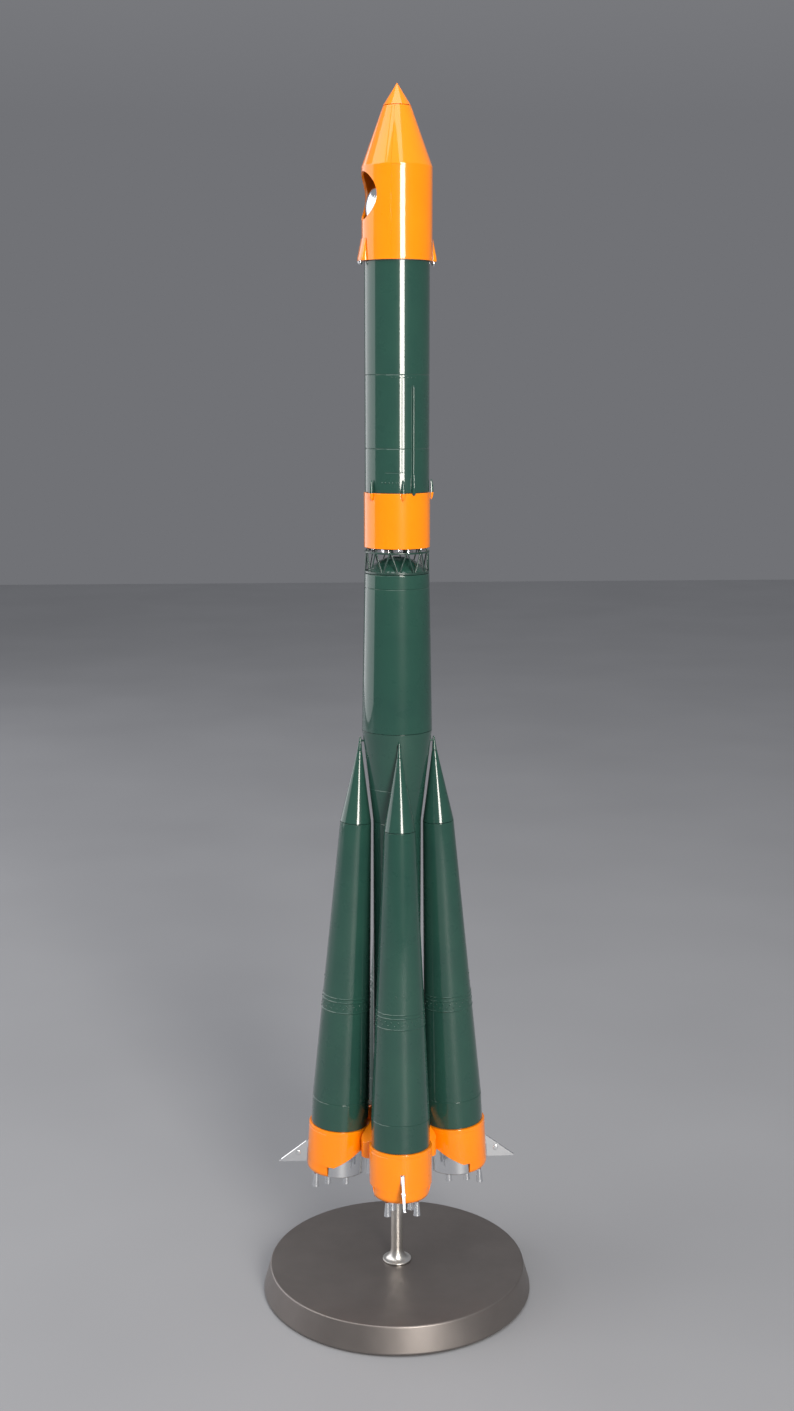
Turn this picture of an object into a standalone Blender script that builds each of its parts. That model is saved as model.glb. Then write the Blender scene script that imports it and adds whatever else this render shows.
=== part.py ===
"""Desktop display model of a four-booster launch vehicle on a round stand.

Metres, +Z up. The origin is on the underside of the stand, at its centre, and the front booster
faces -Y. Every stage is a hollow shell that plugs into its neighbour, as the real model is built.
"""

import math

import bmesh
import bpy
from mathutils import Matrix, Vector

MM = 0.001

# Fits
GAP = 0.3 * MM              # between two pieces that seat on or nest in each other
WALL = 1.2 * MM             # of every moulded shell
SPIGOT = 5.0 * MM           # length of the plug that joins two shells
GROOVE = 0.3 * MM           # depth of an engraved ring, and half its width
WELD = 0.001 * MM           # merge distance
HAIR = 0.02 * MM            # keeps one face just inside another when they are united

# Stand
BASE_BOTTOM_RADIUS = 82.5 * MM
BASE_DRAFT = 4.3 * MM       # how far the side slopes in
BASE_TOP_RADIUS = BASE_BOTTOM_RADIUS - BASE_DRAFT
BASE_THICKNESS = 16.5 * MM
BASE_EDGE = 0.8 * MM
PAD_MARGIN = 6.5 * MM       # between the pad and the edge of the disc
PAD_RADIUS = BASE_BOTTOM_RADIUS - PAD_MARGIN
PAD_THICKNESS = 0.9 * MM
PAD_PROUD = 0.5 * MM        # how far the pad stands out below the disc
POST_RADIUS = 3.7 * MM
POST_FOOT_RADIUS = 8.8 * MM
POST_FOOT_LIP = 1.0 * MM
POST_FLARE_HEIGHT = 7.5 * MM
POST_INSERTION = 45.0 * MM  # of the post into the tail of the core
CAP_WALL = 0.6 * MM
CAP_LENGTH = 23.0 * MM
SCREW_RADIUS = 1.8 * MM
SCREW_HEAD_RADIUS = 3.9 * MM
SCREW_HEAD_HEIGHT = 2.5 * MM
SCREW_ENGAGEMENT = 15.0 * MM
SCREW_KEY_RADIUS = 1.6 * MM
WASHER_RADIUS = 6.5 * MM
WASHER_THICKNESS = 0.8 * MM
COUNTERBORE_DEPTH = 6.0 * MM

# Core, from the tail up
TAIL_CLEARANCE = 78.0 * MM  # top of the stand to the tail of the core
CORE_NARROW_RADIUS = 14.2 * MM
CORE_TAIL_STEP = 0.7 * MM   # tail skirt over the tank
CORE_TAIL_RADIUS = CORE_NARROW_RADIUS + CORE_TAIL_STEP
CORE_TAIL_LENGTH = 15.0 * MM
CORE_NARROW_LENGTH = 188.6 * MM
CORE_TAPER_LENGTH = 54.4 * MM
CORE_KNUCKLE_RADIUS = 20.6 * MM
CORE_UPPER_LENGTH = 91.5 * MM
CORE_TOP_RADIUS = 18.8 * MM
CORE_GROOVE_DROP = 8.0 * MM
CORE_DOME_RISE = 9.5 * MM
CORE_PLATE_THICKNESS = 2.0 * MM
CORE_BELL_LENGTH = 13.5 * MM
CORE_BELL_RADIUS = 2.8 * MM
CORE_BELL_CIRCLE = 9.2 * MM
VERNIER_POD_REACH = 30.0 * MM
VERNIER_POD_END = 10.0 * MM     # height of its outer end over the tail
VERNIER_POD_RISE = 22.0 * MM    # height of its root over the tail

# Boosters, measured down their own axis from the apex
BOOSTER_AZIMUTHS = {"front": -90.0, "right": 0.0, "back": 90.0, "left": 180.0}
BOOSTER_DROP = 4.5 * MM     # apex below the core's knuckle
BOOSTER_TOP_GAP = 1.5 * MM  # between the apex and the core's wall
BOOSTER_TAIL_GAP = 1.5 * MM
BOOSTER_TIP_LENGTH = 8.3 * MM
BOOSTER_TIP_RADIUS = 1.45 * MM
BOOSTER_NOSE_LENGTH = 51.1 * MM
BOOSTER_NOSE_RADIUS = 9.2 * MM
BOOSTER_TAPER_LENGTH = 170.7 * MM
BOOSTER_RADIUS = 17.3 * MM
BOOSTER_STRAIGHT_LENGTH = 17.6 * MM
SKIRT_STEP = 1.3 * MM       # skirt over the tank
SKIRT_RADIUS = BOOSTER_RADIUS + SKIRT_STEP
SKIRT_LENGTH = 29.9 * MM
FLAP_HALF_ANGLE = 67.5      # degrees either side of straight outward
FLAP_STEP = 1.0 * MM        # at its ends, behind the skirt's face; flush under the fin
FLAP_CURL = 3.4 * MM        # height of its rim, which curls in
FLAP_INSET = 2.4 * MM       # of the rim's edge from its face
FLAP_RADIUS = SKIRT_RADIUS - FLAP_STEP - FLAP_INSET
FLAP_WALL = 0.9 * MM
FLAP_COLUMNS = 12
SHOULDER_HALF_ANGLE = 81.0
SHOULDER_LENGTH = 7.2 * MM  # from the flap's lowest edge up to the shoulder
CUTOUT_HALF_ANGLE = 130.0
CUTOUT_LENGTH = 16.4 * MM
BELL_LENGTH = 9.0 * MM
BELL_RADIUS = 2.1 * MM
BELL_THROAT = 1.2 * MM
BELL_RIM = 0.45 * MM        # thickness of a nozzle's mouth
BELL_SPACING = 5.5 * MM
VERNIER_RADIUS = 2.1 * MM
VERNIER_THROAT = 1.25 * MM
VERNIER_OUT = 13.0 * MM
VERNIER_SIDE = 8.6 * MM
FIN_THICKNESS = 1.9 * MM
FIN_SPAN = 18.6 * MM
FIN_HEIGHT = 14.6 * MM
FIN_RISE = 4.4 * MM         # of its lower edge over the skirt's
FIN_TAB_RISE = 11.8 * MM
FIN_TAB_LENGTH = 6.0 * MM
FIN_TIP_RISE = 1.7 * MM     # of the blunt tip's upper corner
FIN_TIP_SLANT = 1.6 * MM
FIN_TIP_LAND = 1.0 * MM
FIN_TIP_EASE = 0.4 * MM
FIN_TIP_LIFT = 0.2 * MM     # of the tip over the fin's inner corner
FIN_RIVET_RADIUS = 1.5 * MM
HOOK_RADIUS = 0.65 * MM
HOOK_BALL_RADIUS = 1.05 * MM
HOOK_REACH = 2.4 * MM       # past the middle of the core's wall
HOOK_DROP = 2.5 * MM        # hinge below the apex
HOOK_CLEARANCE = 0.5 * MM
PEG_RADIUS = 1.5 * MM
PEG_HEIGHT = 12.0 * MM      # above the booster's skirt
PEG_INSERTION = 1.5 * MM
PEG_CLEARANCE = 0.4 * MM

# Upper stage
TRUSS_HEIGHT = 14.9 * MM
TRUSS_INSET = 0.1 * MM
TRUSS_RADIUS = CORE_TOP_RADIUS - TRUSS_INSET
TRUSS_BAYS = 12
TRUSS_STRUT_RADIUS = 0.4 * MM
TRUSS_FOOT_HEIGHT = 1.3 * MM
TRUSS_HEAD_HEIGHT = 1.0 * MM
TRUSS_HEAD_DROP = 2.0 * MM  # of the head ring below the band
BAND_STEP = 0.2 * MM        # band over the core
BAND_RADIUS = CORE_TOP_RADIUS + BAND_STEP
BAND_WALL = 1.4 * MM
BAND_LENGTH = 31.3 * MM
STAGE_INSET = 0.55 * MM     # tank under the band
STAGE_RADIUS = BAND_RADIUS - STAGE_INSET
STAGE_LENGTH = 127.4 * MM
STAGE_GROOVES = (24.8 * MM, 65.6 * MM)      # above the stage's lower edge
UPPER_BELL_RADIUS = 3.5 * MM
UPPER_BELL_CIRCLE = 0.421 * BAND_RADIUS
UPPER_VERNIER_CIRCLE = 1.7 * UPPER_BELL_CIRCLE
UPPER_BELL_LENGTH = 8.0 * MM
UPPER_PLATE_RISE = 4.0 * MM     # engine plate above the band's lower edge
RACEWAY_AZIMUTH = -64.0
RACEWAY_HALF_WIDTH = 1.1 * MM
RACEWAY_LENGTH = 59.9 * MM
RACEWAY_HEIGHT = 1.15 * MM
RACEWAY_POD_LENGTH = 9.5 * MM
RACEWAY_POD_MIDDLE = 4.0 * MM
RACEWAY_POD_PROUD = 0.7 * MM    # over the duct, at the pod's middle
RACEWAY_POD_ENDS = 0.4 * MM     # over the duct, at the pod's ends
RACEWAY_TAPER = 2.0 * MM
JOINT_PODS = {"front": -83.0, "left": -140.9, "right": -5.5}
JOINT_POD_HALF_WIDTH = 1.2 * MM
JOINT_POD_HEIGHT = 1.5 * MM
JOINT_POD_BELOW = 4.2 * MM  # reach below and above the joint
JOINT_POD_ABOVE = 7.5 * MM

# Payload
FAIRING_STEP = 1.3 * MM     # fairing over the tank
FAIRING_RADIUS = STAGE_RADIUS + FAIRING_STEP
FAIRING_LENGTH = 50.8 * MM
FAIRING_CONE_LENGTH = 32.1 * MM
FAIRING_CONE_RADIUS = 7.85 * MM
NOSE_CAP_LENGTH = 12.2 * MM
NOSE_CAP_TIP = 0.35 * MM
FAIRING_SEAT_RISE = 6.0 * MM
PORTHOLE_RADIUS = 13.0 * MM
PORTHOLE_RISE = 35.1 * MM
PORTHOLE_AZIMUTH = 191.3
POD_AZIMUTHS = {"left": 191.3, "right": 11.3}
POD_HALF_ANGLE = 18.0
POD_LENGTH = 11.9 * MM
POD_PROUD = 2.55 * MM
POD_REACH = FAIRING_RADIUS + POD_PROUD
POD_SCREW_RADIUS = 0.6 * MM
POD_SCREW_HEAD_RADIUS = 1.3 * MM
CAPSULE_CLEARANCE = 0.95 * MM
CAPSULE_RADIUS = FAIRING_RADIUS - WALL - CAPSULE_CLEARANCE
CAPSULE_RISE = 28.6 * MM

# Stack of heights, each on the one below
BASE_TOP = PAD_PROUD + BASE_THICKNESS
TAIL_Z = BASE_TOP + TAIL_CLEARANCE
WAIST_Z = TAIL_Z + CORE_TAIL_LENGTH
TAPER_Z = WAIST_Z + CORE_NARROW_LENGTH
KNUCKLE_Z = TAPER_Z + CORE_TAPER_LENGTH
CORE_TOP_Z = KNUCKLE_Z + CORE_UPPER_LENGTH
BAND_Z = CORE_TOP_Z + TRUSS_HEIGHT
STAGE_Z = BAND_Z + BAND_LENGTH
FAIRING_Z = STAGE_Z + STAGE_LENGTH
SHOULDER_Z = FAIRING_Z + FAIRING_LENGTH
NOSE_CAP_Z = SHOULDER_Z + FAIRING_CONE_LENGTH
TIP_Z = NOSE_CAP_Z + NOSE_CAP_LENGTH
POST_TOP_Z = TAIL_Z + POST_INSERTION
POST_CAP_RADIUS = POST_RADIUS + GAP + CAP_WALL
SOCKET_RADIUS = POST_CAP_RADIUS + GAP

BODY_SEGMENTS = 24
BOOSTER_SEGMENTS = 20
SMALL_SEGMENTS = 8


def core_radius(height):
    """Outer radius of the core's shell at a height."""
    if height <= TAPER_Z:
        return CORE_NARROW_RADIUS
    if height <= KNUCKLE_Z:
        share = (height - TAPER_Z) / CORE_TAPER_LENGTH
        return CORE_NARROW_RADIUS + share * (CORE_KNUCKLE_RADIUS - CORE_NARROW_RADIUS)
    share = (height - KNUCKLE_Z) / CORE_UPPER_LENGTH
    return CORE_KNUCKLE_RADIUS + share * (CORE_TOP_RADIUS - CORE_KNUCKLE_RADIUS)


# Where the boosters hang: the lean follows from the two gaps to the core
APEX_Z = KNUCKLE_Z - BOOSTER_DROP
APEX_R = core_radius(APEX_Z) + BOOSTER_TOP_GAP
HINGE_Z = APEX_Z - HOOK_DROP
HINGE_R = core_radius(HINGE_Z) - WALL / 2
SKIRT_STATION = BOOSTER_NOSE_LENGTH + BOOSTER_TAPER_LENGTH + BOOSTER_STRAIGHT_LENGTH
SKIRT_R = CORE_TAIL_RADIUS + BOOSTER_TAIL_GAP + SKIRT_RADIUS
LEAN = math.asin((SKIRT_R - APEX_R) / SKIRT_STATION)
PEG_STATION = SKIRT_STATION - PEG_HEIGHT
POD_CHANNEL = SKIRT_R * math.sin(math.pi / 4) - SKIRT_RADIUS   # half the room between two skirts


# ---------------------------------------------------------------- modelling helpers


def clear_scene():
    for obj in list(bpy.data.objects):
        bpy.data.objects.remove(obj, do_unlink=True)


def linear(channel):
    """One sRGB channel, 0 to 255, as a linear value."""
    value = channel / 255
    return value / 12.92 if value <= 0.04045 else ((value + 0.055) / 1.055) ** 2.4


def material(name, hex_colour, roughness, metallic=0.0):
    made = bpy.data.materials.new(name)
    made.use_nodes = True
    shader = made.node_tree.nodes["Principled BSDF"]
    channels = [linear(int(hex_colour[i:i + 2], 16)) for i in (1, 3, 5)]
    shader.inputs["Base Color"].default_value = (*channels, 1.0)
    shader.inputs["Roughness"].default_value = roughness
    shader.inputs["Metallic"].default_value = metallic
    made.diffuse_color = (*channels, 1.0)
    return made


def new_object(name, bm):
    """Welds a bmesh, turns its faces outward and gives it an object."""
    bmesh.ops.remove_doubles(bm, verts=bm.verts, dist=WELD)
    bmesh.ops.recalc_face_normals(bm, faces=bm.faces)
    mesh = bpy.data.meshes.new(name)
    bm.to_mesh(mesh)
    bm.free()
    obj = bpy.data.objects.new(name, mesh)
    bpy.context.scene.collection.objects.link(obj)
    return obj


def turned(name, outline, segments=BODY_SEGMENTS):
    """Solid of revolution about Z from (radius, height) points.

    The outline closes on itself, unless both its ends are on the axis.
    """
    bm = bmesh.new()
    points = [bm.verts.new((radius, 0.0, height)) for radius, height in outline]
    pairs = list(zip(points, points[1:]))
    if outline[0][0] > 0.0:
        pairs.append((points[-1], points[0]))
    edges = [bm.edges.new(pair) for pair in pairs]
    bmesh.ops.spin(bm, geom=points + edges, cent=(0, 0, 0), axis=(0, 0, 1),
                   angle=math.tau, steps=segments, use_merge=True)
    return new_object(name, bm)


def sector(name, outline, middle, half_angle, steps):
    """Closed (radius, height) outline swept over part of a turn, angles in degrees."""
    bm = bmesh.new()
    start = math.radians(middle - half_angle)
    points = [bm.verts.new((r * math.cos(start), r * math.sin(start), z)) for r, z in outline]
    face = bm.faces.new(points)
    bmesh.ops.spin(bm, geom=[face], cent=(0, 0, 0), axis=(0, 0, 1),
                   angle=math.radians(2 * half_angle), steps=steps)
    return new_object(name, bm)


def plate(name, outline, thickness):
    """Closed (x, z) outline given a thickness across Y, centred on Y = 0."""
    bm = bmesh.new()
    face = bm.faces.new([bm.verts.new((x, -thickness / 2, z)) for x, z in outline])
    made = bmesh.ops.extrude_face_region(bm, geom=[face])
    moved = [item for item in made["geom"] if isinstance(item, bmesh.types.BMVert)]
    bmesh.ops.translate(bm, verts=moved, vec=(0, thickness, 0))
    return new_object(name, bm)


def rod(name, start, end, radius, end_radius=None, segments=SMALL_SEGMENTS):
    """Straight round bar, or a cone, between two points."""
    start, end = Vector(start), Vector(end)
    turn = Vector((0, 0, 1)).rotation_difference(end - start).to_matrix().to_4x4()
    bm = bmesh.new()
    bmesh.ops.create_cone(bm, cap_ends=True, segments=segments, radius1=radius,
                          radius2=radius if end_radius is None else end_radius,
                          depth=(end - start).length,
                          matrix=Matrix.Translation((start + end) / 2) @ turn)
    return new_object(name, bm)


def ball(name, centre, radius):
    bm = bmesh.new()
    bmesh.ops.create_uvsphere(bm, u_segments=SMALL_SEGMENTS, v_segments=6, radius=radius,
                              matrix=Matrix.Translation(centre))
    return new_object(name, bm)


def bell(name, throat, mouth, length, segments=SMALL_SEGMENTS):
    """Nozzle whose throat is at the origin and whose open mouth points down."""
    outline = [(0.0, 0.0), (throat, 0.0), (mouth, -length), (mouth - BELL_RIM, -length),
               (0.0, -0.4 * length)]
    return turned(name, outline, segments)


def moved(obj, matrix):
    obj.data.transform(matrix)
    return obj


def at(x, y, z):
    return Matrix.Translation((x, y, z))


def about_z(degrees):
    return Matrix.Rotation(math.radians(degrees), 4, "Z")


def joined(name, objects):
    """One mesh of several bodies that don't touch, for use in a Boolean."""
    bm = bmesh.new()
    for obj in objects:
        bm.from_mesh(obj.data)
        bpy.data.objects.remove(obj)
    return new_object(name, bm)


def boolean(base, other, operation):
    """Applies a Boolean to the base's mesh and removes the other object."""
    modifier = base.modifiers.new(operation.title(), "BOOLEAN")
    modifier.operation = operation
    modifier.solver = "EXACT"
    modifier.object = other
    graph = bpy.context.evaluated_depsgraph_get()
    result = bpy.data.meshes.new_from_object(base.evaluated_get(graph))
    base.modifiers.clear()
    base.data = result
    bpy.data.objects.remove(other)
    return base


def united(base, *others):
    for other in others:
        boolean(base, other, "UNION")
    return base


def cut(base, *others):
    for other in others:
        boolean(base, other, "DIFFERENCE")
    return base


def ring_groove(radius, height):
    """Points of a small V cut round a shell, from its lower to its upper edge."""
    return [(radius, height - GROOVE), (radius - GROOVE, height), (radius, height + GROOVE)]


def empty(name, location=(0, 0, 0), parent=None):
    """Marks a joint. It isn't part of the solid model."""
    made = bpy.data.objects.new(name, None)
    made.empty_display_size = 0.02
    bpy.context.scene.collection.objects.link(made)
    made.parent = parent
    made.location = location
    return made


def finished(obj, finish, parent):
    """Gives a piece its material, smooth shading and the joint that carries it."""
    obj.data.materials.clear()
    obj.data.materials.append(finish)
    obj.data.shade_smooth()
    obj.data.set_sharp_from_angle(angle=math.radians(32))
    obj.parent = parent
    bpy.context.view_layer.update()
    obj.matrix_parent_inverse = parent.matrix_world.inverted()
    return obj


# ---------------------------------------------------------------- stand


def base_disc():
    ceiling = PAD_THICKNESS + GAP
    seat = ceiling + COUNTERBORE_DEPTH
    hole = SCREW_RADIUS + GAP
    outline = [
        (hole, BASE_TOP), (BASE_TOP_RADIUS - BASE_EDGE, BASE_TOP),
        (BASE_TOP_RADIUS, BASE_TOP - BASE_EDGE), (BASE_BOTTOM_RADIUS, PAD_PROUD + 2 * BASE_EDGE),
        (BASE_BOTTOM_RADIUS - BASE_EDGE / 3, PAD_PROUD + BASE_EDGE / 2),
        (BASE_BOTTOM_RADIUS - BASE_EDGE, PAD_PROUD), (PAD_RADIUS + GAP, PAD_PROUD),
        (PAD_RADIUS + GAP, ceiling), (WASHER_RADIUS + 2 * GAP, ceiling),
        (WASHER_RADIUS + 2 * GAP, seat), (hole, seat),
    ]
    return turned("base_disc", outline, 40)


def base_pad():
    outline = [(0, 0), (PAD_RADIUS, 0), (PAD_RADIUS, PAD_THICKNESS), (0, PAD_THICKNESS)]
    return turned("base_pad", outline, 40)


def post():
    bottom = BASE_TOP + GAP
    bore = SCREW_RADIUS + GAP
    bore_top = bottom + SCREW_ENGAGEMENT + GAP
    flare_bottom = bottom + POST_FOOT_LIP
    flare_width = 0.8 * (POST_FOOT_RADIUS - POST_RADIUS)
    steps = 5
    flare = []
    for step in range(steps + 1):
        angle = math.pi / 2 * step / steps
        flare.append((POST_RADIUS + flare_width * (1 - math.sin(angle)),
                      flare_bottom + POST_FLARE_HEIGHT * (1 - math.cos(angle))))
    outline = [(0, bore_top), (bore, bore_top), (bore, bottom), (POST_FOOT_RADIUS, bottom),
               (POST_FOOT_RADIUS, flare_bottom), *flare,
               (POST_RADIUS, POST_TOP_Z), (0, POST_TOP_Z)]
    return turned("post", outline, 16)


def post_screw():
    head_top = PAD_THICKNESS + GAP + COUNTERBORE_DEPTH - WASHER_THICKNESS - 2 * GAP
    head_bottom = head_top - SCREW_HEAD_HEIGHT
    end = BASE_TOP + GAP + SCREW_ENGAGEMENT
    outline = [(0, head_bottom), (SCREW_HEAD_RADIUS, head_bottom), (SCREW_HEAD_RADIUS, head_top),
               (SCREW_RADIUS, head_top), (SCREW_RADIUS, end), (0, end)]
    key = rod("key", (0, 0, head_bottom - GAP), (0, 0, head_bottom + 0.6 * SCREW_HEAD_HEIGHT),
              SCREW_KEY_RADIUS, segments=6)
    return cut(turned("post_screw", outline, 16), key)


def post_washer():
    top = PAD_THICKNESS + GAP + COUNTERBORE_DEPTH - GAP
    hole = SCREW_RADIUS + GAP
    outline = [(hole, top), (WASHER_RADIUS, top), (WASHER_RADIUS, top - WASHER_THICKNESS),
               (hole, top - WASHER_THICKNESS)]
    return turned("post_washer", outline, 20)


def post_cap():
    """Plastic cap on the post: the rocket's socket turns on it and lifts off it."""
    inside = POST_RADIUS + GAP
    crown = POST_TOP_Z + GAP
    top = crown + CAP_WALL
    bottom = top - CAP_LENGTH
    outline = [(0, top), (POST_CAP_RADIUS, top), (POST_CAP_RADIUS, bottom), (inside, bottom),
               (inside, crown), (0, crown)]
    return turned("post_cap", outline, 16)


# ---------------------------------------------------------------- core


def vernier_pod(name, inset, root, bottom, top_shift):
    """Wedge on a 45 degree azimuth between two boosters, with a round outer end."""
    half_width = POD_CHANNEL - BOOSTER_TAIL_GAP - inset
    centre = VERNIER_POD_REACH - inset - half_width
    plan = [(root, -half_width)]
    steps = 6
    for step in range(steps + 1):
        angle = math.pi * (step / steps - 0.5)
        plan.append((centre + half_width * math.cos(angle), half_width * math.sin(angle)))
    plan.append((root, half_width))
    slope = (VERNIER_POD_RISE - VERNIER_POD_END) / (VERNIER_POD_REACH - CORE_NARROW_RADIUS)
    bm = bmesh.new()
    lower = [bm.verts.new((x, y, bottom)) for x, y in plan]
    upper = [bm.verts.new((x, y, TAIL_Z + VERNIER_POD_END + top_shift
                           + slope * (VERNIER_POD_REACH - x))) for x, y in plan]
    bm.faces.new(lower)
    bm.faces.new(upper)
    for i, point in enumerate(lower):
        after = (i + 1) % len(lower)
        bm.faces.new((point, lower[after], upper[after], upper[i]))
    return new_object(name, bm)


def core_tail_skirt():
    bore = CORE_TAIL_RADIUS - WALL
    plug = CORE_NARROW_RADIUS - WALL - GAP
    seat = WAIST_Z - GAP
    outline = [(CORE_TAIL_RADIUS, TAIL_Z), (CORE_TAIL_RADIUS, seat), (plug, seat),
               (plug, WAIST_Z + SPIGOT), (plug - WALL, WAIST_Z + SPIGOT),
               (plug - WALL, seat - WALL), (bore, seat - WALL), (bore, TAIL_Z)]
    skirt = turned("core_tail_skirt", outline)
    tank_clearance = rod("clearance", (0, 0, seat), (0, 0, WAIST_Z + VERNIER_POD_RISE),
                         CORE_NARROW_RADIUS + GAP, segments=BODY_SEGMENTS)
    pods = []
    pockets = []
    for quarter in range(4):
        turn = about_z(45 + 90 * quarter)
        pods.append(moved(vernier_pod("pod", 0.0, CORE_TAIL_RADIUS - WALL / 2, TAIL_Z, 0.0), turn))
        pockets.append(moved(vernier_pod("pocket", WALL, bore - WALL, TAIL_Z - GAP,
                                         -2 * WALL), turn))
    shaped = cut(joined("pods", pods), tank_clearance)
    united(skirt, shaped)
    for pocket in pockets:
        ceiling = rod("ceiling", (0, 0, seat - WALL), (0, 0, seat + VERNIER_POD_RISE),
                      2 * VERNIER_POD_REACH)
        cut(skirt, cut(pocket, ceiling))
    return skirt


def core_engine():
    top = TAIL_Z + WALL + CORE_PLATE_THICKNESS
    bottom = top - CORE_PLATE_THICKNESS
    hole = SOCKET_RADIUS + GAP
    rim = CORE_TAIL_RADIUS - WALL - GAP
    engine = turned("core_engine", [(hole, bottom), (rim, bottom), (rim, top), (hole, top)],
                    BOOSTER_SEGMENTS)
    arm_half_width = POD_CHANNEL - BOOSTER_TAIL_GAP - WALL - 2 * GAP
    reach = VERNIER_POD_REACH - WALL - 2 * GAP
    vernier_at = reach - arm_half_width
    for quarter in range(4):
        turn = about_z(45 + 90 * quarter)
        inner = rim - WALL
        arm = plate("arm", [(inner, bottom), (reach - arm_half_width / 2, bottom),
                            (reach - arm_half_width / 2, top), (inner, top)], 2 * arm_half_width)
        main = moved(bell("bell", CORE_BELL_RADIUS / 2, CORE_BELL_RADIUS, CORE_BELL_LENGTH),
                     at(CORE_BELL_CIRCLE, 0, bottom + WALL / 2))
        vernier = moved(bell("vernier", VERNIER_THROAT, VERNIER_RADIUS, CORE_BELL_LENGTH),
                        at(vernier_at, 0, bottom + WALL / 2))
        united(engine, moved(arm, turn))
        united(engine, moved(joined("bells", [main, vernier]), turn))
    return engine


def post_socket():
    bottom = TAIL_Z + WALL + CORE_PLATE_THICKNESS + GAP
    ceiling = POST_TOP_Z + GAP + CAP_WALL + GAP
    outer = SOCKET_RADIUS + WALL
    flange = CORE_TAIL_RADIUS - WALL - 2 * GAP
    outline = [(0, ceiling + WALL), (outer, ceiling + WALL), (outer, bottom + WALL),
               (flange, bottom + WALL), (flange, bottom), (SOCKET_RADIUS, bottom),
               (SOCKET_RADIUS, ceiling), (0, ceiling)]
    return turned("post_socket", outline, 16)


def core_lower_tank():
    """Straight lower tank and taper, with a hole for each booster's hook and peg."""
    inside = CORE_NARROW_RADIUS - WALL
    top = KNUCKLE_Z - GAP / 2
    plug = core_radius(KNUCKLE_Z + SPIGOT) - WALL - GAP
    step_down = top - 2 * WALL
    outline = [
        (CORE_NARROW_RADIUS, WAIST_Z), *ring_groove(CORE_NARROW_RADIUS, TAPER_Z - 2 * GROOVE),
        (core_radius(top), top), (plug, top), (plug, KNUCKLE_Z + SPIGOT),
        (plug - WALL, KNUCKLE_Z + SPIGOT), (plug - WALL, top - WALL),
        (core_radius(step_down) - WALL, step_down), (inside, TAPER_Z), (inside, WAIST_Z),
    ]
    tank = turned("core_lower_tank", outline)
    peg_axis = on_booster_axis(PEG_STATION)
    holes = []
    for azimuth in BOOSTER_AZIMUTHS.values():
        turn = about_z(azimuth)
        holes.append(moved(rod("hole", (HINGE_R - 3 * WALL, 0, HINGE_Z),
                               (HINGE_R + 3 * WALL, 0, HINGE_Z),
                               HOOK_RADIUS + HOOK_CLEARANCE), turn))
        lean_at_wall = peg_axis.z - (peg_axis.x - CORE_NARROW_RADIUS) * math.tan(LEAN)
        holes.append(moved(rod("hole", (CORE_NARROW_RADIUS - 3 * WALL, 0, lean_at_wall),
                               (CORE_NARROW_RADIUS + WALL, 0, lean_at_wall),
                               PEG_RADIUS + PEG_CLEARANCE), turn))
    return cut(tank, joined("holes", holes))


def core_upper_tank():
    bottom = KNUCKLE_Z + GAP / 2
    groove = CORE_TOP_Z - CORE_GROOVE_DROP
    outline = [
        (core_radius(bottom), bottom), *ring_groove(core_radius(groove), groove),
        (CORE_TOP_RADIUS, CORE_TOP_Z), (CORE_TOP_RADIUS - WALL, CORE_TOP_Z),
        (core_radius(bottom) - WALL, bottom),
    ]
    return turned("core_upper_tank", outline)


def dome_arc(radius, rise, top, steps):
    """Points of a spherical cap from its crown to its rim."""
    sphere = (radius ** 2 + rise ** 2) / (2 * rise)
    spread = math.asin(min(1.0, radius / sphere))
    return [(sphere * math.sin(spread * i / steps),
             top - sphere + sphere * math.cos(spread * i / steps)) for i in range(steps + 1)]


def core_dome():
    """Tank head that shows through the truss."""
    plug = CORE_TOP_RADIUS - WALL - GAP
    top = CORE_TOP_Z + CORE_DOME_RISE
    shoulder = CORE_TOP_Z + TRUSS_FOOT_HEIGHT
    rise = CORE_DOME_RISE - TRUSS_FOOT_HEIGHT
    outer = dome_arc(plug - GAP, rise, top, 5)
    inner = dome_arc(plug - WALL, rise, top - WALL, 3)
    foot = CORE_TOP_Z - SPIGOT
    outline = [*outer, (plug, shoulder - GAP), (plug, foot), (plug - WALL, foot), *inner[::-1]]
    return turned("core_dome", outline)


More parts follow.
